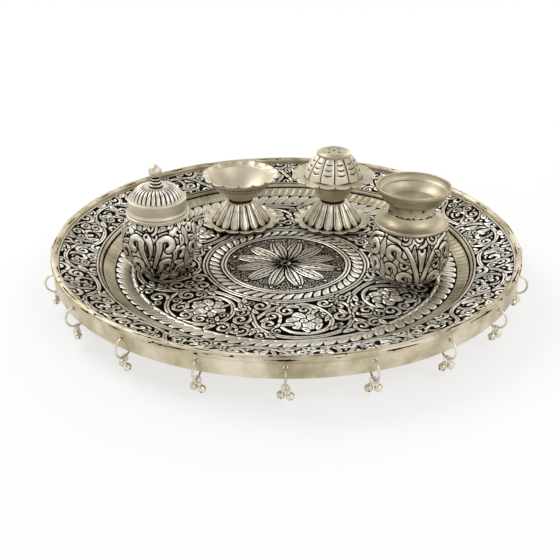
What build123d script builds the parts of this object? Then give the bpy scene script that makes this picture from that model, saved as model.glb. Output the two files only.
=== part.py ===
"""Puja thali: a footed round tray with an embossed well and rim, twenty pairs of small bells
hanging on rings from its skirt, and four vessels standing in the well.

Millimetres, +Z up. The origin is on the surface that the foot ring stands on, on the tray's axis,
and the viewer's side is -Y. Every outline below is a list of (radius, height) points that is spun
about a vertical axis. Heights of the tray are measured from its floor, the flat bottom of the well.
"""

import os
from math import atan2, cos, degrees, pi, radians, sin, sqrt

from build123d import *

# Cuts run this far past the faces that they open.
OVERRUN = 1.0

# Tray: one sheet, pressed into a flat floor, a gadroon band, a cove and a sloping rim.
SHEET = 1.2
FLOOR_RADIUS = 103.0
GADROON_WIDTH = 9.0
GADROON_RISE = 2.6
GADROON_BULGE = 0.5
COVE_WIDTH = 10.5
COVE_RISE = 6.5
COVE_SAG = 1.3
RIM_WIDTH = 24.5
RIM_RISE = 7.9
LIP_WIDTH = 2.0

# Chased relief of the tray: its ground is sunk, and the raised work stays level with the sheet.
# From the middle outwards: a star, a rope between two lines, the scrolls of the floor, the gadroons
# and the scrolls of the rim.
RELIEF_DEPTH = 0.55
CHASED_LINE_WIDTH = 0.9
CHASED_BORDER = 2.2
SCROLL_MARGIN = 0.7
STAR_PETALS = 12
STAR_RADIUS = 37.5
STAR_HUB_RADIUS = 6.0
STAR_ROOT_RADIUS = 5.0
STAR_PETAL_WIDTH = 9.0
ROPE_LOBES = 48
ROPE_WIDTH = 7.6
ROPE_LOBE_LENGTH = 7.4
ROPE_LOBE_WIDTH = 4.0
ROPE_LEAN_DEGREES = 28.0
SCROLL_DEGREES = 278.0
WAVE_LEAN_SHARE = 1 / 12
STEM_BREAK_SHARE = 0.012
FLOOR_LOOPS = 8
FLOOR_STEM_WIDTH = 3.2
ROUNDEL_ARM_SHARE = 0.56
ROUNDEL_RADIUS_SHARE = 0.33
ROUNDEL_TURN_SHARE = 1.05
ROUNDEL_FALL_SHARE = 3.0
FLOWER_PETALS = 6
FLOWER_RADIUS = 6.0
FLOWER_PETAL_RADIUS = 2.8
FLOWER_BOSS_RADIUS = 2.1
BUD_LENGTH = 14.0
BUD_WIDTH = 5.0
BUD_RISE_SHARE = 0.31
RIM_LOOPS = 24
RIM_SCROLL_INSET = 1.8
RIM_STEM_WIDTH = 2.3
CURL_ARM_SHARE = 0.46
CURL_RADIUS_SHARE = 0.095
CURL_TURN_SHARE = 1.25
CURL_FALL_SHARE = 1.0
GADROONS = 88
GADROON_GROOVE_RADIUS = 0.9
GADROON_GROOVE_DEPTH = 0.2
GADROON_GROOVE_INSET = 0.4

# Rolled bead that clasps the tray's lip and the top of the skirt.
BEAD_WIRE_RADIUS = 2.3
BEAD_OFFSET = 1.2
BEAD_LIFT = 1.4

# Skirt: a plain band that hangs from the bead and carries the bell rings.
SKIRT_WALL = 1.0
SKIRT_OFFSET = 1.4
SKIRT_TUCK = 0.8
SKIRT_HEIGHT = 10.3

# Foot ring, soldered under the floor.
FOOT_RADIUS = 95.0
FOOT_WALL = 3.0
FOOT_HEIGHT = 10.0

# Bell rings: each is threaded through a hole near the top of the skirt.
RING_COUNT = 20
RING_RADIUS = 6.05
RING_WIRE_RADIUS = 0.65
RING_HOLE_DROP = 3.6
RING_HOLE_PLAY = 0.75

# Bells: two hollow balls with a crossed mouth slit, an eye on top and a pellet inside.
BELL_RADIUS = 2.5
BELL_WALL = 0.5
BELL_SLIT = 0.7
BELL_SLIT_DROP = 0.3
BELL_NECK_RADIUS = 0.9
BELL_NECK_HEIGHT = 1.2
BELL_EYE_RADIUS = 1.9
BELL_EYE_WIRE_RADIUS = 0.4
BELL_EYE_PLAY = 0.1
BELL_SPLAY_DEGREES = 25.0
BELL_EYE_SPACING = 1.5
PELLET_RADIUS = 0.9
PELLET_PLAY = 0.1

# Kumkum pot, with a lid that fits over an inner neck. Each vessel stands in a direction from the
# tray's axis, in degrees, with its base this far inside the edge of the floor.
POT_DIRECTION = 183.1
POT_INSET = 3.3
POT_WALL = 1.1
POT_BASE_RADIUS = 16.2
POT_BELLY_RADIUS = 24.9
POT_BELLY_RISE = 18.3
POT_SHOULDER_RADIUS = 19.6
POT_SHOULDER_RISE = 37.0
POT_COLLAR_OVERHANG = 0.8
POT_COLLAR_HEIGHT = 2.0
POT_NECK_WALL = 1.2
POT_NECK_HEIGHT = 7.0
LID_SETBACK = 1.5
LID_WALL = 1.0
LID_PLAY = 0.35
LID_BAND_HEIGHT = 10.1
LID_LEDGE = 3.5
DOME_TOP_RADIUS = 7.6
DOME_HEIGHT = 7.3
DOME_BULGE = 1.5
DOME_WALL = 1.0
DOME_FLUTES = 30
DOME_FLUTE_RADIUS = 0.7
DOME_FLUTE_DEPTH = 0.35
FINIAL_DISC_RADIUS = 4.8
FINIAL_DISC_HEIGHT = 1.6
FINIAL_STEM_RADIUS = 2.0
FINIAL_STEM_HEIGHT = 4.4
FINIAL_PEG_RADIUS = 1.5
FINIAL_BALL_RADIUS = 4.4

# Water pot with a flared mouth bowl on a short neck.
KALASH_DIRECTION = -11.4
KALASH_INSET = 5.8
KALASH_WALL = 1.1
KALASH_BASE_RADIUS = 15.9
KALASH_BELLY_RADIUS = 25.6
KALASH_BELLY_RISE = 19.0
KALASH_SHOULDER_RADIUS = 22.4
KALASH_SHOULDER_RISE = 36.0
SHOULDER_OVERHANG = 1.2
SHOULDER_BEAD_WIDTH = 2.2
SHOULDER_BEAD_HEIGHT = 2.4
SHOULDER_HEIGHT = 8.3
SHOULDER_SAG = 1.6
SHOULDER_WALL = 1.2
KALASH_NECK_RADIUS = 14.9
KALASH_NECK_WALL = 1.4
KALASH_NECK_HEIGHT = 6.8
MOUTH_RADIUS = 23.6
MOUTH_HEIGHT = 11.0
MOUTH_STEP = 0.7
MOUTH_BULGE = 1.6
MOUTH_WALL = 1.0

# Oil lamp and incense stand: they share the saucer base, the petal foot and the bowl's stem.
LAMP_DIRECTION = 115.6
LAMP_INSET = 3.1
STAND_DIRECTION = 64.0
STAND_INSET = 2.9
SAUCER_LEDGE = 1.7
SAUCER_EDGE_WIDTH = 6.1
SAUCER_RISE = 2.9
SAUCER_WALL = 0.9
SCALLOPS = 16
SCALLOP_DEPTH = 1.2
PETAL_BASE_RADIUS = 20.8
PETAL_TOP_RADIUS = 11.8
PETAL_HEIGHT = 15.9
PETAL_BULGE = 2.6
PETAL_WALL = 1.8
PETALS = 16
PETAL_GROOVE_RADIUS = 1.1
PETAL_GROOVE_DEPTH = 0.7
STEM_RADIUS = 9.0
STEM_HEIGHT = 2.4
BOWL_FOOT_RADIUS = 10.0
BOWL_RADIUS = 19.6
BOWL_BULGE = 2.0
BOWL_WALL = 1.0
BRIM_FLAT = 1.6
LAMP_BOWL_HEIGHT = 15.4
LAMP_BRIM_RADIUS = 28.3
LAMP_BRIM_RISE = 2.8
STAND_BOWL_HEIGHT = 17.0
STAND_BRIM_RADIUS = 30.4
STAND_BRIM_RISE = 1.2

# Gored dome and pierced cap of the incense stand.
INCENSE_DOME_INSET = 0.2
INCENSE_DOME_TOP_RADIUS = 12.0
INCENSE_DOME_HEIGHT = 15.8
INCENSE_DOME_BULGE = 3.4
INCENSE_DOME_WALL = 1.4
INCENSE_DOME_GORES = 12
INCENSE_GROOVE_RADIUS = 0.9
INCENSE_GROOVE_DEPTH = 0.5
CAP_OVERHANG = 0.3
CAP_BEVEL_WIDTH = 2.4
CAP_BEVEL_HEIGHT = 1.2
CAP_HEIGHT = 2.6
STICK_HOLES = 4
STICK_HOLE_RADIUS = 1.1
STICK_HOLE_CIRCLE_RADIUS = 5.0

# Places and heights that follow from the sizes above.
FLOOR_Z = FOOT_HEIGHT + SHEET
GADROON_RADIUS = FLOOR_RADIUS + GADROON_WIDTH
WELL_RADIUS = GADROON_RADIUS + COVE_WIDTH
WELL_Z = FLOOR_Z + GADROON_RISE + COVE_RISE
RIM_RADIUS = WELL_RADIUS + RIM_WIDTH
RIM_Z = WELL_Z + RIM_RISE
LIP_RADIUS = RIM_RADIUS + LIP_WIDTH
STAR_GROUND_RADIUS = STAR_RADIUS + CHASED_BORDER
STAR_LINE_RADIUS = STAR_GROUND_RADIUS + CHASED_BORDER
ROPE_RADIUS = STAR_LINE_RADIUS + CHASED_BORDER + ROPE_WIDTH / 2
ROPE_LINE_RADIUS = ROPE_RADIUS + ROPE_WIDTH / 2 + CHASED_BORDER
FLOOR_SCROLL_INNER_RADIUS = ROPE_LINE_RADIUS + CHASED_BORDER
FLOOR_SCROLL_OUTER_RADIUS = FLOOR_RADIUS - CHASED_BORDER
FLOOR_SCROLL_WIDTH = FLOOR_SCROLL_OUTER_RADIUS - FLOOR_SCROLL_INNER_RADIUS
FLOOR_SCROLL_RADIUS = (FLOOR_SCROLL_INNER_RADIUS + FLOOR_SCROLL_OUTER_RADIUS) / 2
RIM_SCROLL_RADIUS = (WELL_RADIUS + RIM_RADIUS) / 2
RIM_SCROLL_WIDTH = RIM_WIDTH - 2 * RIM_SCROLL_INSET
BEAD_RADIUS = LIP_RADIUS + BEAD_OFFSET
BEAD_Z = RIM_Z + BEAD_LIFT
SKIRT_RADIUS = BEAD_RADIUS + SKIRT_OFFSET
SKIRT_MID_RADIUS = SKIRT_RADIUS - SKIRT_WALL / 2
SKIRT_TOP_Z = BEAD_Z - SKIRT_TUCK
RING_HOLE_Z = SKIRT_TOP_Z - RING_HOLE_DROP
POT_COLLAR_RADIUS = POT_SHOULDER_RADIUS + POT_COLLAR_OVERHANG
LID_RADIUS = POT_COLLAR_RADIUS - LID_SETBACK
DOME_BASE_RADIUS = LID_RADIUS - LID_LEDGE
LID_SEAT = POT_SHOULDER_RISE + POT_COLLAR_HEIGHT
LID_TOP = LID_SEAT + LID_BAND_HEIGHT
DOME_TOP = LID_TOP + DOME_HEIGHT
SHOULDER_BEAD_RADIUS = KALASH_SHOULDER_RADIUS + SHOULDER_OVERHANG
SHOULDER_DISC_RADIUS = SHOULDER_BEAD_RADIUS - SHOULDER_BEAD_WIDTH
NECK_SEAT = KALASH_SHOULDER_RISE + SHOULDER_HEIGHT
MOUTH_FOOT_RADIUS = KALASH_NECK_RADIUS + MOUTH_STEP
SAUCER_FLAT_RADIUS = PETAL_BASE_RADIUS + SAUCER_LEDGE
SAUCER_RADIUS = SAUCER_FLAT_RADIUS + SAUCER_EDGE_WIDTH
STEM_SEAT = SAUCER_WALL + PETAL_HEIGHT
STAND_BRIM_SEAT = STEM_SEAT + STEM_HEIGHT + STAND_BOWL_HEIGHT
INCENSE_DOME_RADIUS = BOWL_RADIUS - INCENSE_DOME_INSET
CAP_RADIUS = INCENSE_DOME_TOP_RADIUS + CAP_OVERHANG


def turned(*edges):
    """A solid spun about the vertical axis from the edges of a closed outline."""
    return revolve(Plane.XZ * make_face(edges), Axis.Z)


def through(*points):
    """Straight edges from point to point of an outline."""
    return Polyline(*points).edges()


def bowed(start, end, bulge):
    """An arc from start to end whose middle stands off the chord, to its right when positive."""
    run, rise = end[0] - start[0], end[1] - start[1]
    length = sqrt(run**2 + rise**2)
    middle = ((start[0] + end[0]) / 2 + bulge * rise / length, (start[1] + end[1]) / 2 - bulge * run / length)
    return ThreePointArc(start, middle, end)


def tube(radius, wall, height):
    """An upright tube that stands on the plane z = 0."""
    bore = radius - wall
    return turned(*through((bore, 0), (radius, 0), (radius, height), (bore, height), (bore, 0)))


def scalloped(blank, radius, height):
    """The blank, cut to an outline of equal lobes whose notches lie one scallop depth inside."""
    step = 2 * pi / SCALLOPS
    lobes = []
    for k in range(SCALLOPS):
        start, middle, end = k * step, (k + 1 / 2) * step, (k + 1) * step
        notch = radius - SCALLOP_DEPTH
        lobes.append(
            ThreePointArc(
                (notch * cos(start), notch * sin(start)),
                (radius * cos(middle), radius * sin(middle)),
                (notch * cos(end), notch * sin(end)),
            )
        )
    return blank & Pos(0, 0, -OVERRUN) * extrude(make_face(lobes), height + 2 * OVERRUN)


def fluted(blank, base, top, bulge, count, radius, depth):
    """The blank with round grooves from base to top, pressed to one depth along its bowed side."""
    lift = radius - depth
    path = bowed(base, top, bulge)
    run, rise = top[0] - base[0], top[1] - base[1]
    length = sqrt(run**2 + rise**2)
    shift = (lift * rise / length, -lift * run / length)
    groove_path = Plane.XZ * Pos(*shift) * path
    tool = sweep(Plane(groove_path @ 0, z_dir=groove_path % 0) * Circle(radius), groove_path)
    return blank - [place * tool for place in PolarLocations(0, count)]


def pressed_sheet():
    """The pressed tray: its top outline, and the same outline one sheet lower."""

    def skin(drop):
        floor, well, rim = FLOOR_Z - drop, WELL_Z - drop, RIM_Z - drop
        return [
            *through((0, floor), (FLOOR_RADIUS, floor)),
            bowed((FLOOR_RADIUS, floor), (GADROON_RADIUS, floor + GADROON_RISE), -GADROON_BULGE),
            bowed((GADROON_RADIUS, floor + GADROON_RISE), (WELL_RADIUS, well), COVE_SAG),
            *through((WELL_RADIUS, well), (RIM_RADIUS, rim), (LIP_RADIUS, rim)),
        ]

    lip_edge = through((LIP_RADIUS, RIM_Z - SHEET), (LIP_RADIUS, RIM_Z))
    axis_edge = through((0, FLOOR_Z - SHEET), (0, FLOOR_Z))
    return turned(*skin(0), *skin(SHEET), *lip_edge, *axis_edge)


def beside(route, share, offset):
    """A point beside a route at this share of its way, to its left by the offset."""
    step_share = 1 / 10000
    (x, y), back, ahead = route(share), route(share - step_share), route(share + step_share)
    run, rise = ahead[0] - back[0], ahead[1] - back[1]
    length = sqrt(run**2 + rise**2)
    return x - offset * rise / length, y + offset * run / length


def band(route, width, count):
    """A flat band of even width along a route, through count stretches and square at both ends."""
    shares = [k / count for k in range(count + 1)]
    left = Spline(*[beside(route, share, width / 2) for share in shares])
    right = Spline(*[beside(route, share, -width / 2) for share in shares])
    return make_face([left, right, Line(left @ 0, right @ 0), Line(left @ 1, right @ 1)])


def stem_route(middle, reach, loops, loop):
    """One loop of a stem that waves about the middle radius, with a sunk break at both ends."""

    def route(share):
        way = loop - 1 / 2 + STEM_BREAK_SHARE + share * (1 - 2 * STEM_BREAK_SHARE)
        turn = radians(SCROLL_DEGREES) + (way + WAVE_LEAN_SHARE * sin(2 * pi * way)) * 2 * pi / loops
        radius = middle + reach * cos(pi * way)
        return radius * cos(turn), radius * sin(turn)

    return route


def volute_route(middle, loops, loop, arm, tight, turns, fall):
    """A branch that curls round the middle of its loop, from an arm's length to its tight end."""
    hand = 1 if loop % 2 == 0 else -1

    def route(share):
        away = tight + (arm - tight) * max(0, 1 - share) ** fall
        curl = pi + hand * 2 * pi * turns * share
        turn = radians(SCROLL_DEGREES) + 2 * pi * loop / loops + away * cos(curl) / middle
        radius = middle + away * sin(curl)
        return radius * cos(turn), radius * sin(turn)

    return route


def raised(face):
    """A flat shape as a prism that passes through the whole height of the tray."""
    return extrude(face, RIM_Z + 2 * OVERRUN)


def floor_layer(middle, width):
    """A ring of the floor's top, as deep as the relief, that runs past the top."""
    low = FLOOR_Z - RELIEF_DEPTH
    return Pos(0, 0, low) * tube(middle + width / 2, width, RELIEF_DEPTH + OVERRUN)


def star_ground():
    """What is sunk round the petals of the star."""
    middle = (STAR_ROOT_RADIUS + STAR_RADIUS) / 2
    base, tip = (STAR_ROOT_RADIUS, 0), (STAR_RADIUS, 0)
    left, right = (ThreePointArc(base, (middle, side * STAR_PETAL_WIDTH / 2), tip) for side in (1, -1))
    petal = raised(make_face([left, right]))
    width = STAR_GROUND_RADIUS - STAR_HUB_RADIUS
    layer = floor_layer(STAR_HUB_RADIUS + width / 2, width)
    return layer - [place * petal for place in PolarLocations(0, STAR_PETALS, 180 / STAR_PETALS)]


def rope_ground():
    """What is sunk round the leaning lobes of the rope."""
    oval = Ellipse(ROPE_LOBE_LENGTH / 2, ROPE_LOBE_WIDTH / 2)
    lobe = raised(Pos(ROPE_RADIUS, 0) * Rot(0, 0, ROPE_LEAN_DEGREES) * oval)
    return floor_layer(ROPE_RADIUS, ROPE_WIDTH) - [place * lobe for place in PolarLocations(0, ROPE_LOBES)]


def flower():
    """Round petals about a boss, on the tray's axis."""
    petal = Pos(FLOWER_RADIUS, 0) * Circle(FLOWER_PETAL_RADIUS)
    petals = [place * petal for place in PolarLocations(0, FLOWER_PETALS)]
    return [raised(face) for face in (*petals, Circle(FLOWER_BOSS_RADIUS))]


def floor_scroll_ground():
    """What is sunk round the stem, the roundels, the flowers and the buds of the floor."""
    middle, width = FLOOR_SCROLL_RADIUS, FLOOR_SCROLL_WIDTH
    reach = (width - FLOOR_STEM_WIDTH) / 2 - SCROLL_MARGIN
    arm, tight = ROUNDEL_ARM_SHARE * width, ROUNDEL_RADIUS_SHARE * width
    work = []
    for loop in range(FLOOR_LOOPS):
        stem = stem_route(middle, reach, FLOOR_LOOPS, loop)
        roundel = volute_route(middle, FLOOR_LOOPS, loop, arm, tight, ROUNDEL_TURN_SHARE, ROUNDEL_FALL_SHARE)
        work.append(raised(band(stem, FLOOR_STEM_WIDTH, 16)))
        work.append(raised(band(roundel, FLOOR_STEM_WIDTH, 24)))
        turn = Rot(0, 0, SCROLL_DEGREES + 360 * loop / FLOOR_LOOPS)
        work += [turn * Pos(middle, 0, 0) * piece for piece in flower()]
        rise = BUD_RISE_SHARE * width if loop % 2 == 0 else -BUD_RISE_SHARE * width
        bud = Pos(middle + rise, 0) * Ellipse(BUD_WIDTH / 2, BUD_LENGTH / 2)
        work.append(turn * Rot(0, 0, 180 / FLOOR_LOOPS) * raised(bud))
    return floor_layer(middle, width) - work


def rim_scroll_ground():
    """What is sunk round the stem and the curls of the sloping rim."""
    slope = RIM_RISE / RIM_WIDTH
    inner, outer = WELL_RADIUS + RIM_SCROLL_INSET, RIM_RADIUS - RIM_SCROLL_INSET
    low, high = WELL_Z + slope * RIM_SCROLL_INSET, RIM_Z - slope * RIM_SCROLL_INSET
    layer = turned(
        *through(
            (inner, low - RELIEF_DEPTH),
            (outer, high - RELIEF_DEPTH),
            (outer, high + OVERRUN),
            (inner, low + OVERRUN),
            (inner, low - RELIEF_DEPTH),
        )
    )
    middle, width = RIM_SCROLL_RADIUS, RIM_SCROLL_WIDTH
    reach = (width - RIM_STEM_WIDTH) / 2 - SCROLL_MARGIN
    arm, tight = CURL_ARM_SHARE * width, CURL_RADIUS_SHARE * width
    work = []
    for loop in range(RIM_LOOPS):
        stem = stem_route(middle, reach, RIM_LOOPS, loop)
        curl = volute_route(middle, RIM_LOOPS, loop, arm, tight, CURL_TURN_SHARE, CURL_FALL_SHARE)
        work += [raised(band(route, RIM_STEM_WIDTH, 12)) for route in (stem, curl)]
    return layer - work


def gadroon_groove():
    """A round groove along the chord of the gadroon band at azimuth zero, deepest at its middle."""
    length = sqrt(GADROON_WIDTH**2 + GADROON_RISE**2)
    lift = GADROON_GROOVE_RADIUS - GADROON_GROOVE_DEPTH
    middle = Pos(FLOOR_RADIUS + GADROON_WIDTH / 2, 0, FLOOR_Z + GADROON_RISE / 2)
    slope = Rot(0, -degrees(atan2(GADROON_RISE, GADROON_WIDTH)), 0)
    rod = Cylinder(GADROON_GROOVE_RADIUS, length - 2 * GADROON_GROOVE_INSET, rotation=(0, 90, 0))
    return middle * slope * Pos(0, 0, lift) * rod


def thali_dish():
    """The pressed tray with its chased relief, from the star in the middle to the scrolls of the rim."""
    dish = pressed_sheet()
    for radius in (STAR_LINE_RADIUS, ROPE_LINE_RADIUS):
        dish -= floor_layer(radius, CHASED_LINE_WIDTH)
    for ground in (star_ground(), rope_ground(), floor_scroll_ground(), rim_scroll_ground()):
        dish -= ground
    groove = gadroon_groove()
    return dish - [place * groove for place in PolarLocations(0, GADROONS)]


def rim_bead():
    """The rolled edge, with a slot for the tray's lip and one for the top of the skirt."""
    wire = Pos(BEAD_RADIUS, BEAD_Z) * Circle(BEAD_WIRE_RADIUS)
    corner = (Align.MAX, Align.MAX)
    lip_slot = Pos(LIP_RADIUS, RIM_Z) * Rectangle(2 * LIP_WIDTH, SHEET, align=corner)
    skirt_slot = Pos(SKIRT_RADIUS, SKIRT_TOP_Z) * Rectangle(SKIRT_WALL, SKIRT_HEIGHT, align=corner)
    return revolve(Plane.XZ * (wire - lip_slot - skirt_slot), Axis.Z)


def rim_skirt():
    """The plain band under the bead, with one hole for each bell ring."""
    band = Pos(0, 0, SKIRT_TOP_Z - SKIRT_HEIGHT) * tube(SKIRT_RADIUS, SKIRT_WALL, SKIRT_HEIGHT)
    drill = Cylinder(RING_WIRE_RADIUS + RING_HOLE_PLAY, SKIRT_WALL + 2 * OVERRUN, rotation=(0, 90, 0))
    for k in range(RING_COUNT):
        band -= Rot(0, 0, ring_azimuth(k)) * Pos(SKIRT_MID_RADIUS, 0, RING_HOLE_Z) * drill
    return band


def foot_ring():
    """The foot that lifts the tray so that the bells hang clear."""
    return tube(FOOT_RADIUS, FOOT_WALL, FOOT_HEIGHT)


def ring_azimuth(k):
    """Direction of bell ring k about the tray's axis, in degrees; the first faces the viewer."""
    return -90 + k * 360 / RING_COUNT


def bell_ring():
    """One ring, hanging in the radial plane with its top wire in the skirt's hole at azimuth zero."""
    centre = Pos(SKIRT_MID_RADIUS, 0, RING_HOLE_Z - RING_RADIUS)
    return centre * Torus(RING_RADIUS, RING_WIRE_RADIUS, rotation=(90, 0, 0))


def bell():
    """One bell that hangs straight down from the origin, and the pellet inside it."""
    eye_drop = BELL_EYE_RADIUS - BELL_EYE_WIRE_RADIUS - RING_WIRE_RADIUS - BELL_EYE_PLAY
    neck_drop = eye_drop + BELL_EYE_RADIUS
    ball_drop = neck_drop + BELL_NECK_HEIGHT + BELL_RADIUS - BELL_WALL
    eye = Pos(0, 0, -eye_drop) * Torus(BELL_EYE_RADIUS, BELL_EYE_WIRE_RADIUS, rotation=(0, 90, 0))
    neck = Pos(0, 0, -neck_drop) * Cylinder(
        BELL_NECK_RADIUS, ball_drop - neck_drop, align=(Align.CENTER, Align.CENTER, Align.MAX)
    )
    middle = Pos(0, 0, -ball_drop)
    shell = eye + neck + middle * Sphere(BELL_RADIUS) - middle * Sphere(BELL_RADIUS - BELL_WALL)
    slit = Box(BELL_SLIT, 2 * BELL_RADIUS, BELL_RADIUS, align=(Align.CENTER, Align.CENTER, Align.MAX))
    for turn in (0, 90):
        shell -= middle * Pos(0, 0, -BELL_SLIT_DROP) * Rot(0, 0, turn) * slit
    pellet_drop = BELL_RADIUS - BELL_WALL - PELLET_PLAY - PELLET_RADIUS
    return [shell, middle * Pos(0, 0, -pellet_drop) * Sphere(PELLET_RADIUS)]


def bell_pair():
    """Two bells on the lowest wire of the ring at azimuth zero, leaning left and right."""
    pivot = Pos(SKIRT_MID_RADIUS, 0, RING_HOLE_Z - 2 * RING_RADIUS)
    solids = []
    for side in (-1, 1):
        lean = Pos(side * BELL_EYE_SPACING / 2, 0, 0) * Rot(side * BELL_SPLAY_DEGREES, 0, 0)
        solids += [pivot * lean * piece for piece in bell()]
    return solids


def swelling(base, belly, shoulder):
    """A curve from base to shoulder through the belly, which leaves both ends as one arc would."""
    arc = ThreePointArc(base, belly, shoulder)
    return Spline(base, belly, shoulder, tangents=(arc % 0, arc % 1))


def barrel(base_radius, belly, shoulder, wall):
    """A round-bellied pot, closed below and open above, with an even wall."""
    inner_base, inner_shoulder = (base_radius - wall, wall), (shoulder[0] - wall, shoulder[1])
    return turned(
        swelling((base_radius, 0), belly, shoulder),
        swelling(inner_base, (belly[0] - wall, belly[1]), inner_shoulder),
        *through((0, wall), (0, 0), (base_radius, 0)),
        *through((0, wall), inner_base),
        *through(shoulder, inner_shoulder),
    )


def pot_body():
    """The embossed body of the kumkum pot."""
    belly = (POT_BELLY_RADIUS, POT_BELLY_RISE)
    return barrel(POT_BASE_RADIUS, belly, (POT_SHOULDER_RADIUS, POT_SHOULDER_RISE), POT_WALL)


def pot_neck():
    """The pot's collar, which the lid stands on, and the inner neck, which the lid fits over."""
    neck = LID_RADIUS - LID_WALL - LID_PLAY
    bore = neck - POT_NECK_WALL
    top = POT_COLLAR_HEIGHT + POT_NECK_HEIGHT
    collar = turned(
        bowed((POT_COLLAR_RADIUS, 0), (POT_COLLAR_RADIUS, POT_COLLAR_HEIGHT), POT_COLLAR_HEIGHT / 4),
        *through(
            (POT_COLLAR_RADIUS, POT_COLLAR_HEIGHT),
            (neck, POT_COLLAR_HEIGHT),
            (neck, top),
            (bore, top),
            (bore, 0),
            (POT_COLLAR_RADIUS, 0),
        ),
    )
    return Pos(0, 0, POT_SHOULDER_RISE) * collar


def lid_band():
    """The lid's plain band, with a ledge inside its top that the dome is soldered to."""
    inside = LID_RADIUS - LID_WALL
    bore = DOME_BASE_RADIUS - 2 * DOME_WALL
    under = LID_BAND_HEIGHT - LID_WALL
    band = turned(
        *through(
            (inside, 0),
            (LID_RADIUS, 0),
            (LID_RADIUS, LID_BAND_HEIGHT),
            (bore, LID_BAND_HEIGHT),
            (bore, under),
            (inside, under),
            (inside, 0),
        )
    )
    return Pos(0, 0, LID_SEAT) * band


def lid_dome():
    """The fluted dome, hollow, with a hole for the finial's peg."""
    base, top = (DOME_BASE_RADIUS, 0), (DOME_TOP_RADIUS, DOME_HEIGHT)
    under = DOME_HEIGHT - DOME_WALL
    inner_base, inner_top = (DOME_BASE_RADIUS - DOME_WALL, 0), (DOME_TOP_RADIUS - DOME_WALL / 2, under)
    shell = turned(
        bowed(base, top, DOME_BULGE),
        bowed(inner_base, inner_top, DOME_BULGE),
        *through(base, inner_base),
        *through(top, (FINIAL_PEG_RADIUS, DOME_HEIGHT), (FINIAL_PEG_RADIUS, under), inner_top),
    )
    shell = fluted(shell, base, top, DOME_BULGE, DOME_FLUTES, DOME_FLUTE_RADIUS, DOME_FLUTE_DEPTH)
    return Pos(0, 0, LID_TOP) * shell


def lid_finial():
    """The turned finial: a peg through the dome, a disc, a short stem and a ball."""
    post = FINIAL_DISC_HEIGHT + FINIAL_STEM_HEIGHT
    ball = post + sqrt(FINIAL_BALL_RADIUS**2 - FINIAL_STEM_RADIUS**2)
    finial = turned(
        *through(
            (0, ball + FINIAL_BALL_RADIUS),
            (0, -DOME_WALL),
            (FINIAL_PEG_RADIUS, -DOME_WALL),
            (FINIAL_PEG_RADIUS, 0),
            (FINIAL_DISC_RADIUS, 0),
            (FINIAL_DISC_RADIUS, FINIAL_DISC_HEIGHT),
            (FINIAL_STEM_RADIUS, FINIAL_DISC_HEIGHT),
            (FINIAL_STEM_RADIUS, post),
        ),
        ThreePointArc((FINIAL_STEM_RADIUS, post), (FINIAL_BALL_RADIUS, ball), (0, ball + FINIAL_BALL_RADIUS)),
    )
    return Pos(0, 0, DOME_TOP) * finial


def kalash_body():
    """The embossed body of the water pot."""
    belly = (KALASH_BELLY_RADIUS, KALASH_BELLY_RISE)
    return barrel(KALASH_BASE_RADIUS, belly, (KALASH_SHOULDER_RADIUS, KALASH_SHOULDER_RISE), KALASH_WALL)


def kalash_shoulder():
    """The plain shoulder: a rounded bead at its edge, then a cove up to the neck."""
    bore = KALASH_NECK_RADIUS - KALASH_NECK_WALL
    foot = KALASH_SHOULDER_RADIUS - KALASH_WALL
    edge_low, edge_high = (SHOULDER_BEAD_RADIUS, 0), (SHOULDER_BEAD_RADIUS, SHOULDER_BEAD_HEIGHT)
    outer, inner = (SHOULDER_DISC_RADIUS, SHOULDER_BEAD_HEIGHT), (KALASH_NECK_RADIUS, SHOULDER_HEIGHT)
    lower = (SHOULDER_DISC_RADIUS, SHOULDER_BEAD_HEIGHT - SHOULDER_WALL)
    upper = (bore, SHOULDER_HEIGHT - SHOULDER_WALL)
    disc = turned(
        bowed(edge_low, edge_high, SHOULDER_BEAD_HEIGHT / 4),
        *through(edge_high, outer),
        bowed(outer, inner, -SHOULDER_SAG),
        *through(inner, (bore, SHOULDER_HEIGHT), upper),
        bowed(lower, upper, -SHOULDER_SAG),
        *through(lower, (foot, SHOULDER_BEAD_HEIGHT - SHOULDER_WALL), (foot, 0), edge_low),
    )
    return Pos(0, 0, KALASH_SHOULDER_RISE) * disc


def flared_bowl(foot, radius, height, bulge, wall):
    """A bowl with a flat closed bottom and an open bowed side."""
    outer = bowed((foot, 0), (radius, height), bulge)
    inner = bowed((foot - wall, wall), (radius - wall, height), bulge)
    return turned(
        outer,
        inner,
        *through((radius, height), (radius - wall, height)),
        *through((foot - wall, wall), (0, wall), (0, 0), (foot, 0)),
    )


def kalash_mouth():
    """The flared mouth bowl and the neck ring below it, spun in one."""
    neck = tube(KALASH_NECK_RADIUS, KALASH_NECK_WALL, KALASH_NECK_HEIGHT)
    bowl = flared_bowl(MOUTH_FOOT_RADIUS, MOUTH_RADIUS, MOUTH_HEIGHT, MOUTH_BULGE, MOUTH_WALL)
    return Pos(0, 0, NECK_SEAT) * (neck + Pos(0, 0, KALASH_NECK_HEIGHT) * bowl)


def saucer():
    """The thin scalloped base, flat inside and rising to its edge."""
    rise = SAUCER_RISE - SAUCER_WALL
    plate = turned(
        *through(
            (0, 0),
            (SAUCER_FLAT_RADIUS, 0),
            (SAUCER_RADIUS, rise),
            (SAUCER_RADIUS, SAUCER_RISE),
            (SAUCER_FLAT_RADIUS, SAUCER_WALL),
            (0, SAUCER_WALL),
            (0, 0),
        )
    )
    return scalloped(plate, SAUCER_RADIUS, SAUCER_RISE)


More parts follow.
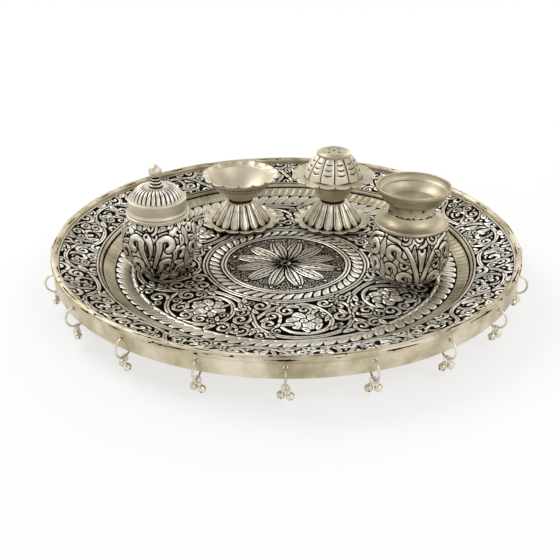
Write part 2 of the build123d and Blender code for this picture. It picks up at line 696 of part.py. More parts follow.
def petal_foot():
    """The hollow foot, pressed into upright petals, with a flat top that the neck stands on."""
    base, top = (PETAL_BASE_RADIUS, 0), (PETAL_TOP_RADIUS, PETAL_HEIGHT)
    inner_base = (PETAL_BASE_RADIUS - PETAL_WALL, 0)
    inner_top = (PETAL_TOP_RADIUS - PETAL_WALL, PETAL_HEIGHT - PETAL_WALL)
    shell = turned(
        bowed(base, top, PETAL_BULGE),
        bowed(inner_base, inner_top, PETAL_BULGE),
        *through(base, inner_base),
        *through(top, (0, PETAL_HEIGHT), (0, PETAL_HEIGHT - PETAL_WALL), inner_top),
    )
    shell = fluted(shell, base, top, PETAL_BULGE, PETALS, PETAL_GROOVE_RADIUS, PETAL_GROOVE_DEPTH)
    return Pos(0, 0, SAUCER_WALL) * shell


def brimmed_bowl(height, brim_radius, brim_rise):
    """A round bowl on a short stem, whose scalloped brim runs flat, then rises to its edge."""
    bend, under, top = BOWL_RADIUS + BRIM_FLAT, height - BOWL_WALL, height + brim_rise
    foot_inner, rim_inner = (BOWL_FOOT_RADIUS - BOWL_WALL, BOWL_WALL), (BOWL_RADIUS - BOWL_WALL, height)
    bowl = turned(
        bowed((BOWL_FOOT_RADIUS, 0), (BOWL_RADIUS, under), BOWL_BULGE),
        bowed(foot_inner, rim_inner, BOWL_BULGE),
        *through(
            (BOWL_RADIUS, under),
            (bend, under),
            (brim_radius, top - BOWL_WALL),
            (brim_radius, top),
            (bend, height),
            rim_inner,
        ),
        *through(foot_inner, (0, BOWL_WALL), (0, 0), (BOWL_FOOT_RADIUS, 0)),
    )
    stem = Cylinder(STEM_RADIUS, STEM_HEIGHT, align=(Align.CENTER, Align.CENTER, Align.MIN))
    bowl = stem + Pos(0, 0, STEM_HEIGHT) * scalloped(bowl, brim_radius, top)
    return Pos(0, 0, STEM_SEAT) * bowl


def incense_dome():
    """The gored dome that closes the stand's bowl."""
    base, top = (INCENSE_DOME_RADIUS, 0), (INCENSE_DOME_TOP_RADIUS, INCENSE_DOME_HEIGHT)
    inner_base = (INCENSE_DOME_RADIUS - INCENSE_DOME_WALL, 0)
    inner_top = (INCENSE_DOME_TOP_RADIUS - INCENSE_DOME_WALL, INCENSE_DOME_HEIGHT)
    shell = turned(
        bowed(base, top, INCENSE_DOME_BULGE),
        bowed(inner_base, inner_top, INCENSE_DOME_BULGE),
        *through(base, inner_base),
        *through(top, inner_top),
    )
    shell = fluted(
        shell, base, top, INCENSE_DOME_BULGE, INCENSE_DOME_GORES, INCENSE_GROOVE_RADIUS, INCENSE_GROOVE_DEPTH
    )
    return Pos(0, 0, STAND_BRIM_SEAT) * shell


def incense_cap():
    """The flat cap with holes for incense sticks, one at its middle and the others around it."""
    cap = turned(
        *through(
            (0, 0),
            (CAP_RADIUS, 0),
            (CAP_RADIUS, CAP_HEIGHT - CAP_BEVEL_HEIGHT),
            (CAP_RADIUS - CAP_BEVEL_WIDTH, CAP_HEIGHT),
            (0, CAP_HEIGHT),
            (0, 0),
        )
    )
    drill = Pos(0, 0, CAP_HEIGHT / 2) * Cylinder(STICK_HOLE_RADIUS, CAP_HEIGHT + 2 * OVERRUN)
    cap -= drill
    for k in range(STICK_HOLES):
        cap -= Rot(0, 0, (k + 1 / 2) * 360 / STICK_HOLES) * Pos(STICK_HOLE_CIRCLE_RADIUS, 0, 0) * drill
    return Pos(0, 0, STAND_BRIM_SEAT + INCENSE_DOME_HEIGHT) * cap


def standing(direction, base_radius, inset, solid):
    """A vessel's piece, moved from the axis to where its base stands on the tray's floor."""
    away = FLOOR_RADIUS - base_radius - inset
    return Pos(away * cos(radians(direction)), away * sin(radians(direction)), FLOOR_Z) * solid


def vessel_pieces():
    """The four vessels, each with its direction, base radius, inset and pieces on its own axis."""
    base, foot = saucer(), petal_foot()
    pot = {
        "pot_body": pot_body(),
        "pot_neck": pot_neck(),
        "lid_band": lid_band(),
        "lid_dome": lid_dome(),
        "lid_finial": lid_finial(),
    }
    kalash = {
        "kalash_body": kalash_body(),
        "kalash_shoulder": kalash_shoulder(),
        "kalash_mouth": kalash_mouth(),
    }
    lamp = {
        "lamp_base": base,
        "lamp_foot": foot,
        "lamp_bowl": brimmed_bowl(LAMP_BOWL_HEIGHT, LAMP_BRIM_RADIUS, LAMP_BRIM_RISE),
    }
    stand = {
        "stand_base": base,
        "stand_foot": foot,
        "stand_bowl": brimmed_bowl(STAND_BOWL_HEIGHT, STAND_BRIM_RADIUS, STAND_BRIM_RISE),
        "stand_dome": incense_dome(),
        "stand_cap": incense_cap(),
    }
    return (
        (POT_DIRECTION, POT_BASE_RADIUS, POT_INSET, pot),
        (KALASH_DIRECTION, KALASH_BASE_RADIUS, KALASH_INSET, kalash),
        (LAMP_DIRECTION, SAUCER_FLAT_RADIUS, LAMP_INSET, lamp),
        (STAND_DIRECTION, SAUCER_FLAT_RADIUS, STAND_INSET, stand),
    )


def nodes():
    """Every piece by its name, as one solid or a list of separate solids."""
    named = {
        "thali_dish": thali_dish(),
        "rim_bead": rim_bead(),
        "rim_skirt": rim_skirt(),
        "foot_ring": foot_ring(),
    }
    for direction, base_radius, inset, pieces in vessel_pieces():
        for name, piece in pieces.items():
            named[name] = standing(direction, base_radius, inset, piece)
    ring, pair = bell_ring(), bell_pair()
    for k in range(RING_COUNT):
        turn = Rot(0, 0, ring_azimuth(k))
        named[f"bell_ring_{k + 1:02d}"] = turn * ring
        named[f"bell_pair_{k + 1:02d}"] = [turn * piece for piece in pair]
    return named


os.makedirs("parts", exist_ok=True)
for name, piece in nodes().items():
    shape = Compound(children=piece) if isinstance(piece, list) else piece
    export_step(shape, f"parts/{name}.step")
    print(name, "volume", round(shape.volume, 2))
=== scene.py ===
# %% [markdown]
# A puja thali is the tray that carries the things of a household prayer: a pot of kumkum powder, a water
# pot, an oil lamp and a stand for incense sticks. This one is white metal, plated with silver, chased
# with scrolls and blackened, and small bells hang from its rim. The sizes and the places of all its
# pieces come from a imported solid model, the frame. This lesson dresses that frame: it draws the chased
# work, presses it into fine meshes, and gives every piece the metal that the eye expects.

import bpy
import numpy as np
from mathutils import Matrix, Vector


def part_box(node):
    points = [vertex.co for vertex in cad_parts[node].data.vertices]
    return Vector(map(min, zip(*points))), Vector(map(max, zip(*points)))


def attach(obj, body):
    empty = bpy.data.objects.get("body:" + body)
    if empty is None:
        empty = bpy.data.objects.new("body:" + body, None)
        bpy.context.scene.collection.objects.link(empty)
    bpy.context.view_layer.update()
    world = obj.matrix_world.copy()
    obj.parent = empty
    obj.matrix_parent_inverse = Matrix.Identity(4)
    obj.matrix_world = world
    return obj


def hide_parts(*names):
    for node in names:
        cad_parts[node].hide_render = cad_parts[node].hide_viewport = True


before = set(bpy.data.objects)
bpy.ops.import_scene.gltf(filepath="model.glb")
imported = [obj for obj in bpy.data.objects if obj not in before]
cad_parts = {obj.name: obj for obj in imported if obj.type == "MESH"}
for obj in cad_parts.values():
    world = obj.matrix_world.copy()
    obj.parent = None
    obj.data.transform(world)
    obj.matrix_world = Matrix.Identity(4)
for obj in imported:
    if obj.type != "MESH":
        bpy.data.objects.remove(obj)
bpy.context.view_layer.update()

MM = 0.001
TAU = 2 * np.pi

# %% [markdown]
# The tray and the two pots are chased: the smith pushes scrolls up from the back of the sheet, sharpens
# their outlines with punches from the front, blackens everything with sulphur and polishes the raised
# work bright again. That black-and-bright drawing is most of what the eye sees, and no noise texture
# gives it. Here the drawing is made the smith's way, on a flat sheet of cells. Each cell holds how far,
# in millimetres, it lies inside a raised band (positive) or outside it (negative). Raising a band keeps
# the larger value, sinking an outline keeps the smaller, so later work overlaps earlier work cleanly.

# %% A sheet to chase
FAR_GROUND = -6.0


class Sheet:
    """A flat piece of metal in millimetres, which may wrap round a pot of the given girth."""

    def __init__(self, left, right, low, high, cell, girth=None):
        self.across = np.arange(left, right + cell, cell)
        self.up = np.arange(low, high + cell, cell)
        self.cell = cell
        self.level = np.full((len(self.up), len(self.across)), FAR_GROUND, np.float32)
        self.shifts = (0, girth, -girth) if girth else (0,)

    def press(self, point, radius, raised):
        """One blow of a round punch, from the back of the sheet when raised."""
        reach = radius + (-FAR_GROUND if raised else radius + 2)
        for shift in self.shifts:
            x, y = point.real + shift, point.imag
            left, right = np.searchsorted(self.across, (x - reach, x + reach))
            low, high = np.searchsorted(self.up, (y - reach, y + reach))
            patch = self.level[low:high, left:right]
            if patch.size == 0:
                continue
            away = np.hypot(self.across[left:right] - x, (self.up[low:high] - y)[:, None])
            if raised:
                np.maximum(patch, radius - away, out=patch)
            else:
                np.minimum(patch, away - radius, out=patch)

    def at(self, points):
        """The level at points given as complex numbers, blended between the cells."""
        column = np.clip((points.real - self.across[0]) / self.cell, 0, len(self.across) - 1.001)
        row = np.clip((points.imag - self.up[0]) / self.cell, 0, len(self.up) - 1.001)
        c, r = column.astype(int), row.astype(int)
        right, high = column - c, row - r
        lower = self.level[r, c] * (1 - right) + self.level[r, c + 1] * right
        upper = self.level[r + 1, c] * (1 - right) + self.level[r + 1, c + 1] * right
        return lower * (1 - high) + upper * high


TRAY_REACH, CELL = 150, 0.25
tray = Sheet(-TRAY_REACH, TRAY_REACH, -TRAY_REACH, TRAY_REACH, CELL)
print("the tray's sheet:", tray.level.shape, "cells of", CELL, "mm")


# %% Punches
def blows(path, widths, spacing=0.3):
    """Even points along a path of complex numbers, each with the width of the band there."""
    path = np.asarray(path, complex)
    run = np.concatenate([[0], np.cumsum(np.abs(np.diff(path)))])
    shares = np.linspace(0, run[-1], max(2, int(run[-1] / spacing) + 1))
    points = np.interp(shares, run, path.real) + 1j * np.interp(shares, run, path.imag)
    widths = np.atleast_1d(np.asarray(widths, float))
    return points, np.interp(shares, np.linspace(0, run[-1], len(widths)), widths)


def emboss(sheet, path, widths, outline=0.8):
    """Raises a band along the path inside a sunk outline."""
    points, widths = blows(path, widths)
    for raised, more in ((False, outline), (True, 0)):
        for point, width in zip(points, widths):
            sheet.press(point, width / 2 + more, raised)


def engrave(sheet, path, width):
    """Sinks a line into work that is already raised."""
    for point, wide in zip(*blows(path, width)):
        sheet.press(point, wide / 2, False)


# %% [markdown]
# Nearly every line on the tray is one of two curves. A volute winds from a stem into its own eye: its
# distance from the eye falls as a power of the way along it, which keeps the arm open and the eye tight.
# A bent line leaves its chord by a parabola, which is enough for leaves and buds, and a long stem passes
# smoothly through a few given points.

# %% Curves of the scrollwork
LEAF_SHARES = np.array((0.2, 0.75, 1.0, 0.95, 0.65, 0.15))
VEIN_LEANS = (-0.22, 0.0, 0.22)
# A path so short that the punch leaves one round mark.
DOT = np.array([0, 0.05])


def steps(count):
    """Even angles once round an axis."""
    return np.linspace(0, TAU, count, endpoint=False)


def volute(start, eye, turns, tight, fall=2.0):
    """A spiral from start into its eye; positive turns run anticlockwise."""
    way = np.linspace(0, 1, 80)
    arm = start - eye
    away = tight + (abs(arm) - tight) * (1 - way) ** fall
    return eye + away * np.exp(1j * (np.angle(arm) + TAU * turns * way))


def bent(start, end, bow):
    """A line from start to end whose middle stands off to the left by bow times its length."""
    way = np.linspace(0, 1, 24)
    return start + (end - start) * (way + 4j * bow * way * (1 - way))


def through(*points):
    """A smooth line through the given points."""
    ends = np.array([2 * points[0] - points[1], *points, 2 * points[-1] - points[-2]])
    way = np.linspace(0, 1, 16, endpoint=False)
    legs = []
    for a, b, c, d in zip(ends, ends[1:], ends[2:], ends[3:]):
        square = way**2 * (a - 2.5 * b + 2 * c - d / 2)
        cube = way**3 * (1.5 * (b - c) + (d - a) / 2)
        legs.append(b + way * (c - a) / 2 + square + cube)
    return np.append(np.concatenate(legs), points[-1])


def ring_path(radius, wobble):
    """A circle about the tray's axis that wanders a little, as hand work does."""
    turn = np.linspace(0, TAU, 720)
    return (radius + wobble * np.sin(3 * turn) * np.cos(7 * turn)) * np.exp(1j * turn)


def repeated(count, radii, turns):
    """One short path, given by its radii and turns, repeated evenly round the tray."""
    return [radii * np.exp(1j * (TAU * k / count + turns)) for k in range(count)]


def into_ring(radius, degrees):
    """Bends a straight band, x along and y outwards, round the tray at this radius."""
    return lambda p: (radius + p.imag) * np.exp(1j * (p.real / radius + np.radians(degrees)))


# %% [markdown]
# Both bands of the tray are a rinceau, the oldest way to fill a border: one stem waves from edge to edge,
# and in every bend a branch curls back round a flower or into an eye. What is left empty is then filled
# by hand with curls and buds, each as large as its gap allows and each hanging on the nearest
# stem. The filler below does the same: it looks for the largest gaps first.

# %% The waving stem, its branches and its flowers
STEM_GROOVE, STEM_OUTLINE, FINE_GROOVE = 0.5, 1.0, 0.3
FLOWER_SHARES = np.array((0.6, 1, 1.15, 1))


def flower(sheet, middle, petals, reach, size, turn):
    """Round petals with three chased veins each, about a boss."""
    for k in range(petals):
        way = np.exp(1j * (turn + TAU * k / petals))
        emboss(sheet, middle + way * np.linspace(0.45, 1.1, 8) * reach, size * FLOWER_SHARES)
        for lean in VEIN_LEANS:
            vein = middle + way * np.exp(1j * lean) * np.linspace(0.95, 1.4, 6) * reach
            engrave(sheet, vein, STEM_GROOVE * 0.8)
    emboss(sheet, middle + DOT, size * 0.66)
    engrave(sheet, middle + DOT, size * 0.2)


def rinceau(sheet, bend, loops, length, height, stem, branch, blossom=None):
    """A stem that waves along a band, with a branch that curls in each of its bends."""
    sides = [1 if k % 2 == 0 else -1 for k in range(loops)]
    eye_turns, eye_tight, fall, eye_width = branch
    start = -length * 0.47
    for k, side in enumerate(sides):
        arm = volute(start + 0j, 0j, eye_turns, eye_tight, fall)
        arm = k * length + (arm if side > 0 else np.conj(arm))
        emboss(sheet, bend(arm), (stem * 0.8, stem, stem, stem * 0.9, eye_width), outline=STEM_OUTLINE)
        engrave(sheet, bend(arm[4:50]), STEM_GROOVE)
    if blossom:
        for k in range(loops):
            flower(sheet, bend(k * length + 0j), *blossom, 0.7 * k)
    turn = np.linspace(0, np.pi, 60)
    waves = []
    for k, side in enumerate(sides):
        along = length * (k + turn / np.pi) + length / 12 * np.sin(2 * turn)
        waves.append(bend(along + 1j * side * height * np.cos(turn)))
    emboss(sheet, np.concatenate(waves), stem, outline=STEM_OUTLINE)
    engrave(sheet, np.concatenate(waves), STEM_GROOVE)


# %% Curls and buds for the gaps
CURL_SHARES = np.array((0.4, 0.48, 0.46, 0.4, 0.32))
LEAST_CURL, LARGEST_CURL = 2.6, 5.0
TRAY_ROOMS = (4.9, 4.2, 3.5, 2.9, 2.4, 1.8)


def fill_gap(sheet, spot, room, hand):
    """One curl or bud, as large as the gap's room allows, that hangs on the nearest work."""
    ways = np.exp(1j * steps(24))
    way = ways[np.argmax(sheet.at(spot + ways * room))]
    if room > LEAST_CURL:
        size = min(room, LARGEST_CURL)
        curl = volute(spot + way * (room + 0.5), spot, hand * 1.25, size * 0.27, 1.2)
        emboss(sheet, curl, size * CURL_SHARES, outline=0.75)
        engrave(sheet, curl[8:44], FINE_GROOVE)
    else:
        long = way * np.exp(1.2j * hand) * room * 1.6
        bud = bent(spot + long, spot - long, 0.14 * hand)
        emboss(sheet, bud, (2 * room - 1.1) * LEAF_SHARES, outline=0.6)
        engrave(sheet, bud[8:15], min(0.8, room * 0.28))


def fill(sheet, spots, rooms):
    """Fills the gaps around the given spots, the largest first."""
    made = 0
    for least in rooms:
        for spot in spots[-sheet.at(spots) > least]:
            room = -float(sheet.at(spot))
            if room > least:
                fill_gap(sheet, spot, min(room, -FAR_GROUND - 0.5), 1 if made % 3 else -1)
                made += 1
    return made


def ring_spots(inner, outer, pitch, seed):
    """Spots strewn evenly over a ring, in no order."""
    draw = np.random.default_rng(seed)
    count = int(np.pi * (outer**2 - inner**2) / pitch**2)
    radius = np.sqrt(draw.uniform(inner**2, outer**2, count))
    return radius * np.exp(1j * draw.uniform(0, TAU, count))


# %% [markdown]
# The tray is drawn from the middle outwards: a star of twelve veined petals, a rope of gadroons between
# two pairs of rings, the eight flower roundels of the floor, the gadroon band that turns up into the
# wall, and the finer rinceau of the rim.

# %% Chase the star and the rope
PETALS, STAR_RADIUS, PETAL_WIDTH = 12, 37.5, 10.4
PETAL_SHARES = np.array((0.05, 0.34, 0.62, 0.86, 1.0, 0.96, 0.78, 0.42, 0.05))
MID_VEIN, SIDE_VEIN, SIDE_SHARE, HATCH = 0.9, 0.7, 0.62, 0.25
HATCH_ENDS, HATCH_BACK = np.array([0.5, 0.5 + 0.492j]), np.array([1.4, 0.2])
petal_ways = np.exp(1j * TAU * (np.arange(PETALS) + 0.5) / PETALS)
for way in petal_ways:
    emboss(tray, way * np.linspace(1.0, STAR_RADIUS, 40), PETAL_WIDTH * PETAL_SHARES, outline=0.9)
along = np.linspace(0.1, 0.93, 36)
half = PETAL_WIDTH / 2 * np.interp(along, np.linspace(0, 1, len(PETAL_SHARES)), PETAL_SHARES)
for way in petal_ways:
    engrave(tray, way * STAR_RADIUS * along, MID_VEIN)
    for side in (-1, 1):
        engrave(tray, way * (STAR_RADIUS * along + 1j * SIDE_SHARE * side * half), SIDE_VEIN)
        for at in range(6, 32, 4):
            hatch = STAR_RADIUS * along[at] + half[at] * (side * HATCH_ENDS - HATCH_BACK)
            engrave(tray, way * hatch, HATCH)

ROPE_RADIUS, ROPE_LOBES = 48.0, 48
LOBE_OUT, LOBE_TURN = np.array([3.0, 1.2, -1.4, -3.2]), np.array([0, 0.015, 0.06, 0.115])
for lobe in repeated(ROPE_LOBES, ROPE_RADIUS + LOBE_OUT, LOBE_TURN):
    emboss(tray, lobe, (3.8, 4.4, 2.9, 1.0), outline=0.4)
print("star:", PETALS, "petals; rope:", ROPE_LOBES, "lobes")

# %% Chase the floor and the gadroons
FLOOR_MIDDLE, FLOOR_LOOPS, FLOOR_WAVE, FLOOR_STEM = 78.5, 8, 19.4, 3.2
FLOOR_BRANCH, ROUNDEL = (1.05, 14.6, 3.0, 2.0), (6, 6.9, 6.9)
FIRST_LOOP_DEGREES = 278
bend_floor = into_ring(FLOOR_MIDDLE, FIRST_LOOP_DEGREES)
floor_loop = TAU * FLOOR_MIDDLE / FLOOR_LOOPS
rinceau(tray, bend_floor, FLOOR_LOOPS, floor_loop, FLOOR_WAVE, FLOOR_STEM, FLOOR_BRANCH, ROUNDEL)
for radius, width in ((40.6, 1.5), (42.8, 1.4), (53.0, 1.4), (55.2, 1.6), (101.4, 2.6)):
    emboss(tray, ring_path(radius, 0.25), width)
print("curls and buds on the floor:", fill(tray, ring_spots(57.5, 99, 0.9, 3), TRAY_ROOMS))

GADROON_MIDDLE, GADROONS = 107.9, 88
COMMA_OUT = np.array([-4.6, -3.0, -0.8, 1.6, 3.4])
COMMA_TURN = np.array([0.074, 0.052, 0.030, 0.012, 0.004])
COMMA_WIDTHS = (2.2, 4.6, 6.2, 6.4, 4.4)
for comma in repeated(GADROONS, GADROON_MIDDLE + COMMA_OUT, COMMA_TURN):
    emboss(tray, comma, COMMA_WIDTHS, outline=0.4)
    engrave(tray, comma, FINE_GROOVE)
print("gadroons:", GADROONS)

# %% Chase the rim and the cove
RIM_MIDDLE, RIM_LOOPS, RIM_WAVE, RIM_STEM = 135.0, 24, 8.6, 2.3
RIM_BRANCH = (1.7, 1.3, 1.5, 2.6)
bend_rim = into_ring(RIM_MIDDLE, FIRST_LOOP_DEGREES)
rinceau(tray, bend_rim, RIM_LOOPS, TAU * RIM_MIDDLE / RIM_LOOPS, RIM_WAVE, RIM_STEM, RIM_BRANCH)
print("curls and buds on the rim:", fill(tray, ring_spots(124.6, 147.2, 0.8, 5), TRAY_ROOMS[:-1]))

for radius, width in ((116.6, 7.0), (121.6, 1.6), (123.7, 1.2), (148.6, 1.8)):
    emboss(tray, ring_path(radius, 0.1), width, outline=0.6)
COVE_MARKS, COVE_SPAN, MARK_LEAN = 140, np.array([113.6, 119.6]), np.array([0.02, 0])
for mark in repeated(COVE_MARKS, COVE_SPAN, MARK_LEAN):
    engrave(tray, mark, 0.2)
print("cove:", COVE_MARKS, "slanted marks")

# %% [markdown]
# The metal is white metal (an alloy of copper, nickel and zinc) with a thin silver plate, pressed and
# then chased by hand. New silver is almost white. This one has aged to a warm champagne with a breath of
# olive where hands don't rub it. After chasing it was dipped in liver of sulphur, which turns silver
# black, and buffed, so the black stays only where the cloth can't reach. All finishes are one recipe:
# a metal whose colour drifts slowly over the piece, and a black film wherever the sheet lies low.

# %% Colours and nodes
CHASED_TONES = ("#CBC1AD", "#E9E1D0", "#F9F5EC")
SPUN_TONES = ("#BDB39A", "#DED5C0", "#EFE9DB")
SATIN_TONES = ("#BBB199", "#D3C9B2", "#E5DDCB")
ROLLED_TONES = ("#A89D80", "#CDC1A6", "#E4DBC8")
TARNISHED_TONES = ("#988E74", "#BBB096", "#D6CCB6")
SULPHUR_BLACK = "#0A0807"
SULPHUR_BROWN = "#1F1914"
FILM_EDGE = "#B0A8A0"
BRIGHT_EDGE = "#FFFFFF"


def linear(hex_colour):
    """An sRGB hex colour as linear red, green, blue and full alpha."""
    parts = [int(hex_colour[i : i + 2], 16) / 255 for i in (1, 3, 5)]
    return [p / 12.92 if p <= 0.04045 else ((p + 0.055) / 1.055) ** 2.4 for p in parts] + [1.0]


def add(tree, kind, inputs=None, **settings):
    """Adds a node, sets its properties, and fills each input from a value or another node's output."""
    node = tree.nodes.new("ShaderNode" + kind)
    for name, value in settings.items():
        setattr(node, name, value)
    for name, value in (inputs or {}).items():
        socket = node.inputs[name]
        if isinstance(value, bpy.types.NodeSocket):
            tree.links.new(value, socket)
        else:
            socket.default_value = value
    return node


def per_mm(size):
    """The scale of a texture whose features measure this many millimetres, in metre coordinates."""
    return 1 / (size * MM)


def noise(tree, place, size, detail):
    """A noise texture whose blots measure about this many millimetres."""
    inputs = {"Vector": place, "Scale": per_mm(size), "Detail": detail, "Roughness": 0.55}
    return add(tree, "TexNoise", inputs).outputs["Fac"]


def remap(tree, value, low, high, to_low, to_high, soft=False):
    """A value carried from one range into another and held at its ends."""
    inputs = {"Value": value, "From Min": low, "From Max": high, "To Min": to_low, "To Max": to_high}
    settings = {"interpolation_type": "SMOOTHSTEP"} if soft else {}
    return add(tree, "MapRange", inputs, **settings).outputs["Result"]


def blend(tree, share, first, second):
    """A mix of two colours."""
    inputs = {"Factor": share, "A": first, "B": second}
    return add(tree, "Mix", inputs, data_type="RGBA").outputs["Result"]


def combine(tree, operation, *values):
    """A sum, product or larger value of its inputs."""
    return add(tree, "Math", dict(enumerate(values)), operation=operation).outputs["Value"]


print("middle silver in linear light:", [round(part, 2) for part in linear(SPUN_TONES[1])])


# %% One recipe for silvered white metal
STIPPLE_MM, RUB_MM, MARK_MM, MARK_DEPTH_MM = 1.1, 2.5, 0.8, 0.15


def stippled(tree, place, relief):
    """The level of a ground matted with a pointed punch: bright dots 1.1 mm apart, only in open ground."""
    inputs = {"Vector": place, "Scale": per_mm(STIPPLE_MM), "Randomness": 0.8}
    dots = add(tree, "TexVoronoi", inputs).outputs["Distance"]
    dot = remap(tree, dots, 0.62, 0.2, -0.22, 0.26)
    open_ground = remap(tree, relief, -0.35, -0.8, -0.5, 0.0)
    return combine(tree, "MAXIMUM", relief, combine(tree, "ADD", dot, open_ground))


def blackened(tree, place, colour, finish, worn, stipple):
    """Adds the sulphur film: black and rough where the relief is low, rubbed away where it is high."""
    relief = add(tree, "Attribute", attribute_name="relief").outputs["Fac"]
    low = stippled(tree, place, relief) if stipple else relief
    # The buffing cloth wears the film off unevenly, by about a tenth of a millimetre.
    rub = noise(tree, place, RUB_MM, 2.0)
    uneven = combine(tree, "MULTIPLY_ADD", rub, 0.3, low)
    clean = remap(tree, uneven, 0.08 - worn, 0.40 - worn, 0.0, 1.0, soft=True)
    film = blend(tree, rub, linear(SULPHUR_BLACK), linear(SULPHUR_BROWN))
    dull = remap(tree, clean, 0.0, 1.0, 0.3, 0.0)
    # The film is matt: unlike a metal it stays dark in glancing light.
    edge = blend(tree, clean, linear(FILM_EDGE), linear(BRIGHT_EDGE))
    return blend(tree, clean, film, colour), combine(tree, "ADD", finish, dull), edge


def silvered_metal(name, tones, rough, drift_mm, chased=False, stipple=False, worn=0.0):
    """White metal with a silver plate; chased pieces carry a black film where their relief is low."""
    made = bpy.data.materials.new(name)
    made.use_nodes = True
    tree = made.node_tree
    surface = tree.nodes["Principled BSDF"]
    surface.inputs["Metallic"].default_value = 1.0
    place = add(tree, "TexCoord").outputs["Object"]
    # Slow drift of the tarnish over the piece, a hand's breadth or less from light to dull.
    tarnish = add(tree, "ValToRGB", {"Fac": noise(tree, place, drift_mm, 4.0)})
    ramp = tarnish.color_ramp.elements
    ramp[0].position, ramp[1].position = 0.32, 0.68
    ramp.new(0.5)
    for stop, tone in zip(ramp, tones):
        stop.color = linear(tone)
    # Fine handling marks, a few tenths of a millimetre wide on the real tray and drawn wider to show.
    marks = noise(tree, place, MARK_MM, 3.0)
    colour = tarnish.outputs["Color"]
    finish = remap(tree, marks, 0.0, 1.0, rough - 0.07, rough + 0.1)
    if chased:
        colour, finish, edge = blackened(tree, place, colour, finish, worn, stipple)
        tree.links.new(edge, surface.inputs["Specular Tint"])
    inputs = {"Height": marks, "Strength": 0.12, "Distance": MARK_DEPTH_MM * MM}
    bump = add(tree, "Bump", inputs)
    tree.links.new(colour, surface.inputs["Base Color"])
    tree.links.new(finish, surface.inputs["Roughness"])
    tree.links.new(bump.outputs["Normal"], surface.inputs["Normal"])
    return made


# Chased sheet is bright and busy: hard little lights on every crest, black in every line.
chased_star = silvered_metal("chased_silver_stippled_ground", CHASED_TONES, 0.36, 60, True, stipple=True)
chased_floor = silvered_metal("chased_silver_black_ground", CHASED_TONES, 0.34, 45, True)
# Hands hold the tray by its rim, so there the film is worn back to thinner lines.
chased_rim = silvered_metal("chased_silver_worn_rim", CHASED_TONES, 0.34, 45, True, worn=0.09)
chased_pot = silvered_metal("chased_silver_pot", CHASED_TONES, 0.36, 30, True, worn=0.03)
# Spun pieces are satin from the lathe and show the windows of light only as soft patches.
spun_silver = silvered_metal("spun_silver", SPUN_TONES, 0.46, 35, True)
satin_silver = silvered_metal("satin_silver", SATIN_TONES, 0.48, 35, True)
tarnished_silver = silvered_metal("tarnished_silver", TARNISHED_TONES, 0.48, 25, True)
# The rolled skirt and edge were never polished: dull, warm and a little blotched.
rolled_silver = silvered_metal("rolled_silver", ROLLED_TONES, 0.40, 18)
dull_silver = silvered_metal("dull_silver", ROLLED_TONES, 0.54, 18, True)
# The bells and their rings are drawn from thin bright sheet and wire.
bell_silver = silvered_metal("bell_silver", SPUN_TONES, 0.32, 9, True)
ring_silver = silvered_metal("ring_wire_silver", SPUN_TONES, 0.32, 9)
print("metals:", len(bpy.data.materials))

# %% [markdown]
# Everything turned on a lathe or spun over a form is one outline swept round an axis, so one builder makes
# nearly all the pieces. It takes two tables, radius and height, with a row for each point of the outline
# and a column for each step around. That leaves room for what a lathe can't do: a column may swell into
# a petal, and a row may be pushed in by the chased work. The drawing itself rides along on the vertices
# as an attribute named relief, for the metal's black film.

# %% Outlines
def line(start, end, step):
    """Points along a straight outline, without its end."""
    count = max(1, round(np.hypot(end[0] - start[0], end[1] - start[1]) / step))
    return np.linspace(start, end, count, endpoint=False)


def arc(start, end, bulge, step):
    """Points along an arc, without its end; its middle stands off its chord, to the right when positive."""
    start, end = np.array(start, float), np.array(end, float)
    chord = np.hypot(*(end - start))
    right = np.array([end[1] - start[1], start[0] - end[0]]) / chord
    radius = (chord**2 / 4 + bulge**2) / (2 * abs(bulge))
    hub = (start + end) / 2 - right * np.sign(bulge) * (radius - abs(bulge))
    first = np.arctan2(*(start - hub)[::-1])
    sweep = (np.arctan2(*(end - hub)[::-1]) - first + np.pi) % TAU - np.pi
    turn = first + np.linspace(0, sweep, max(2, round(abs(sweep) * radius / step)), endpoint=False)
    return hub + radius * np.stack([np.cos(turn), np.sin(turn)], -1)


def profile(start, *runs):
    """An outline from corner to corner: each run gives its end, its step and, for an arc, its bulge."""
    rows, corner = [], start
    for x, z, step, *bulge in runs:
        rows.append(arc(corner, (x, z), *bulge, step) if bulge else line(corner, (x, z), step))
        corner = (x, z)
    if corner != start:
        rows.append(corner)
    return np.vstack(rows)


def rows_between(outline, start, end):
    """The rows of an outline from one of its corners up to another."""
    first, last = (np.linalg.norm(outline - corner, axis=1).argmin() for corner in (start, end))
    return slice(first, last)


def to_nearest(outline, marks):
    """How far each row of an outline lies from the nearest of some marks, as a column."""
    return np.linalg.norm(outline[:, None] - np.array(marks), axis=-1).min(1)[:, None]


def outward(outline):
    """The direction square to a closed outline at each of its points, on its left."""
    run = np.roll(outline, -1, 0) - np.roll(outline, 1, 0)
    run /= np.maximum(np.hypot(*run.T), 1e-9)[:, None]
    return np.stack([-run[:, 1], run[:, 0]], -1)


# %% The spun builder
def placed(name, data):
    """A new object in the scene."""
    made = bpy.data.objects.new(name, data)
    bpy.context.scene.collection.objects.link(made)
    return made


def quads(grid, wrap):
    """Faces between the rows of a grid of vertex numbers; wrap closes the last row on the first."""
    lower, upper = (grid, np.roll(grid, -1, 0)) if wrap else (grid[:-1], grid[1:])
    faces = np.stack([lower, upper, np.roll(upper, -1, 1), np.roll(lower, -1, 1)], -1)
    return faces.reshape(-1, 4).tolist()


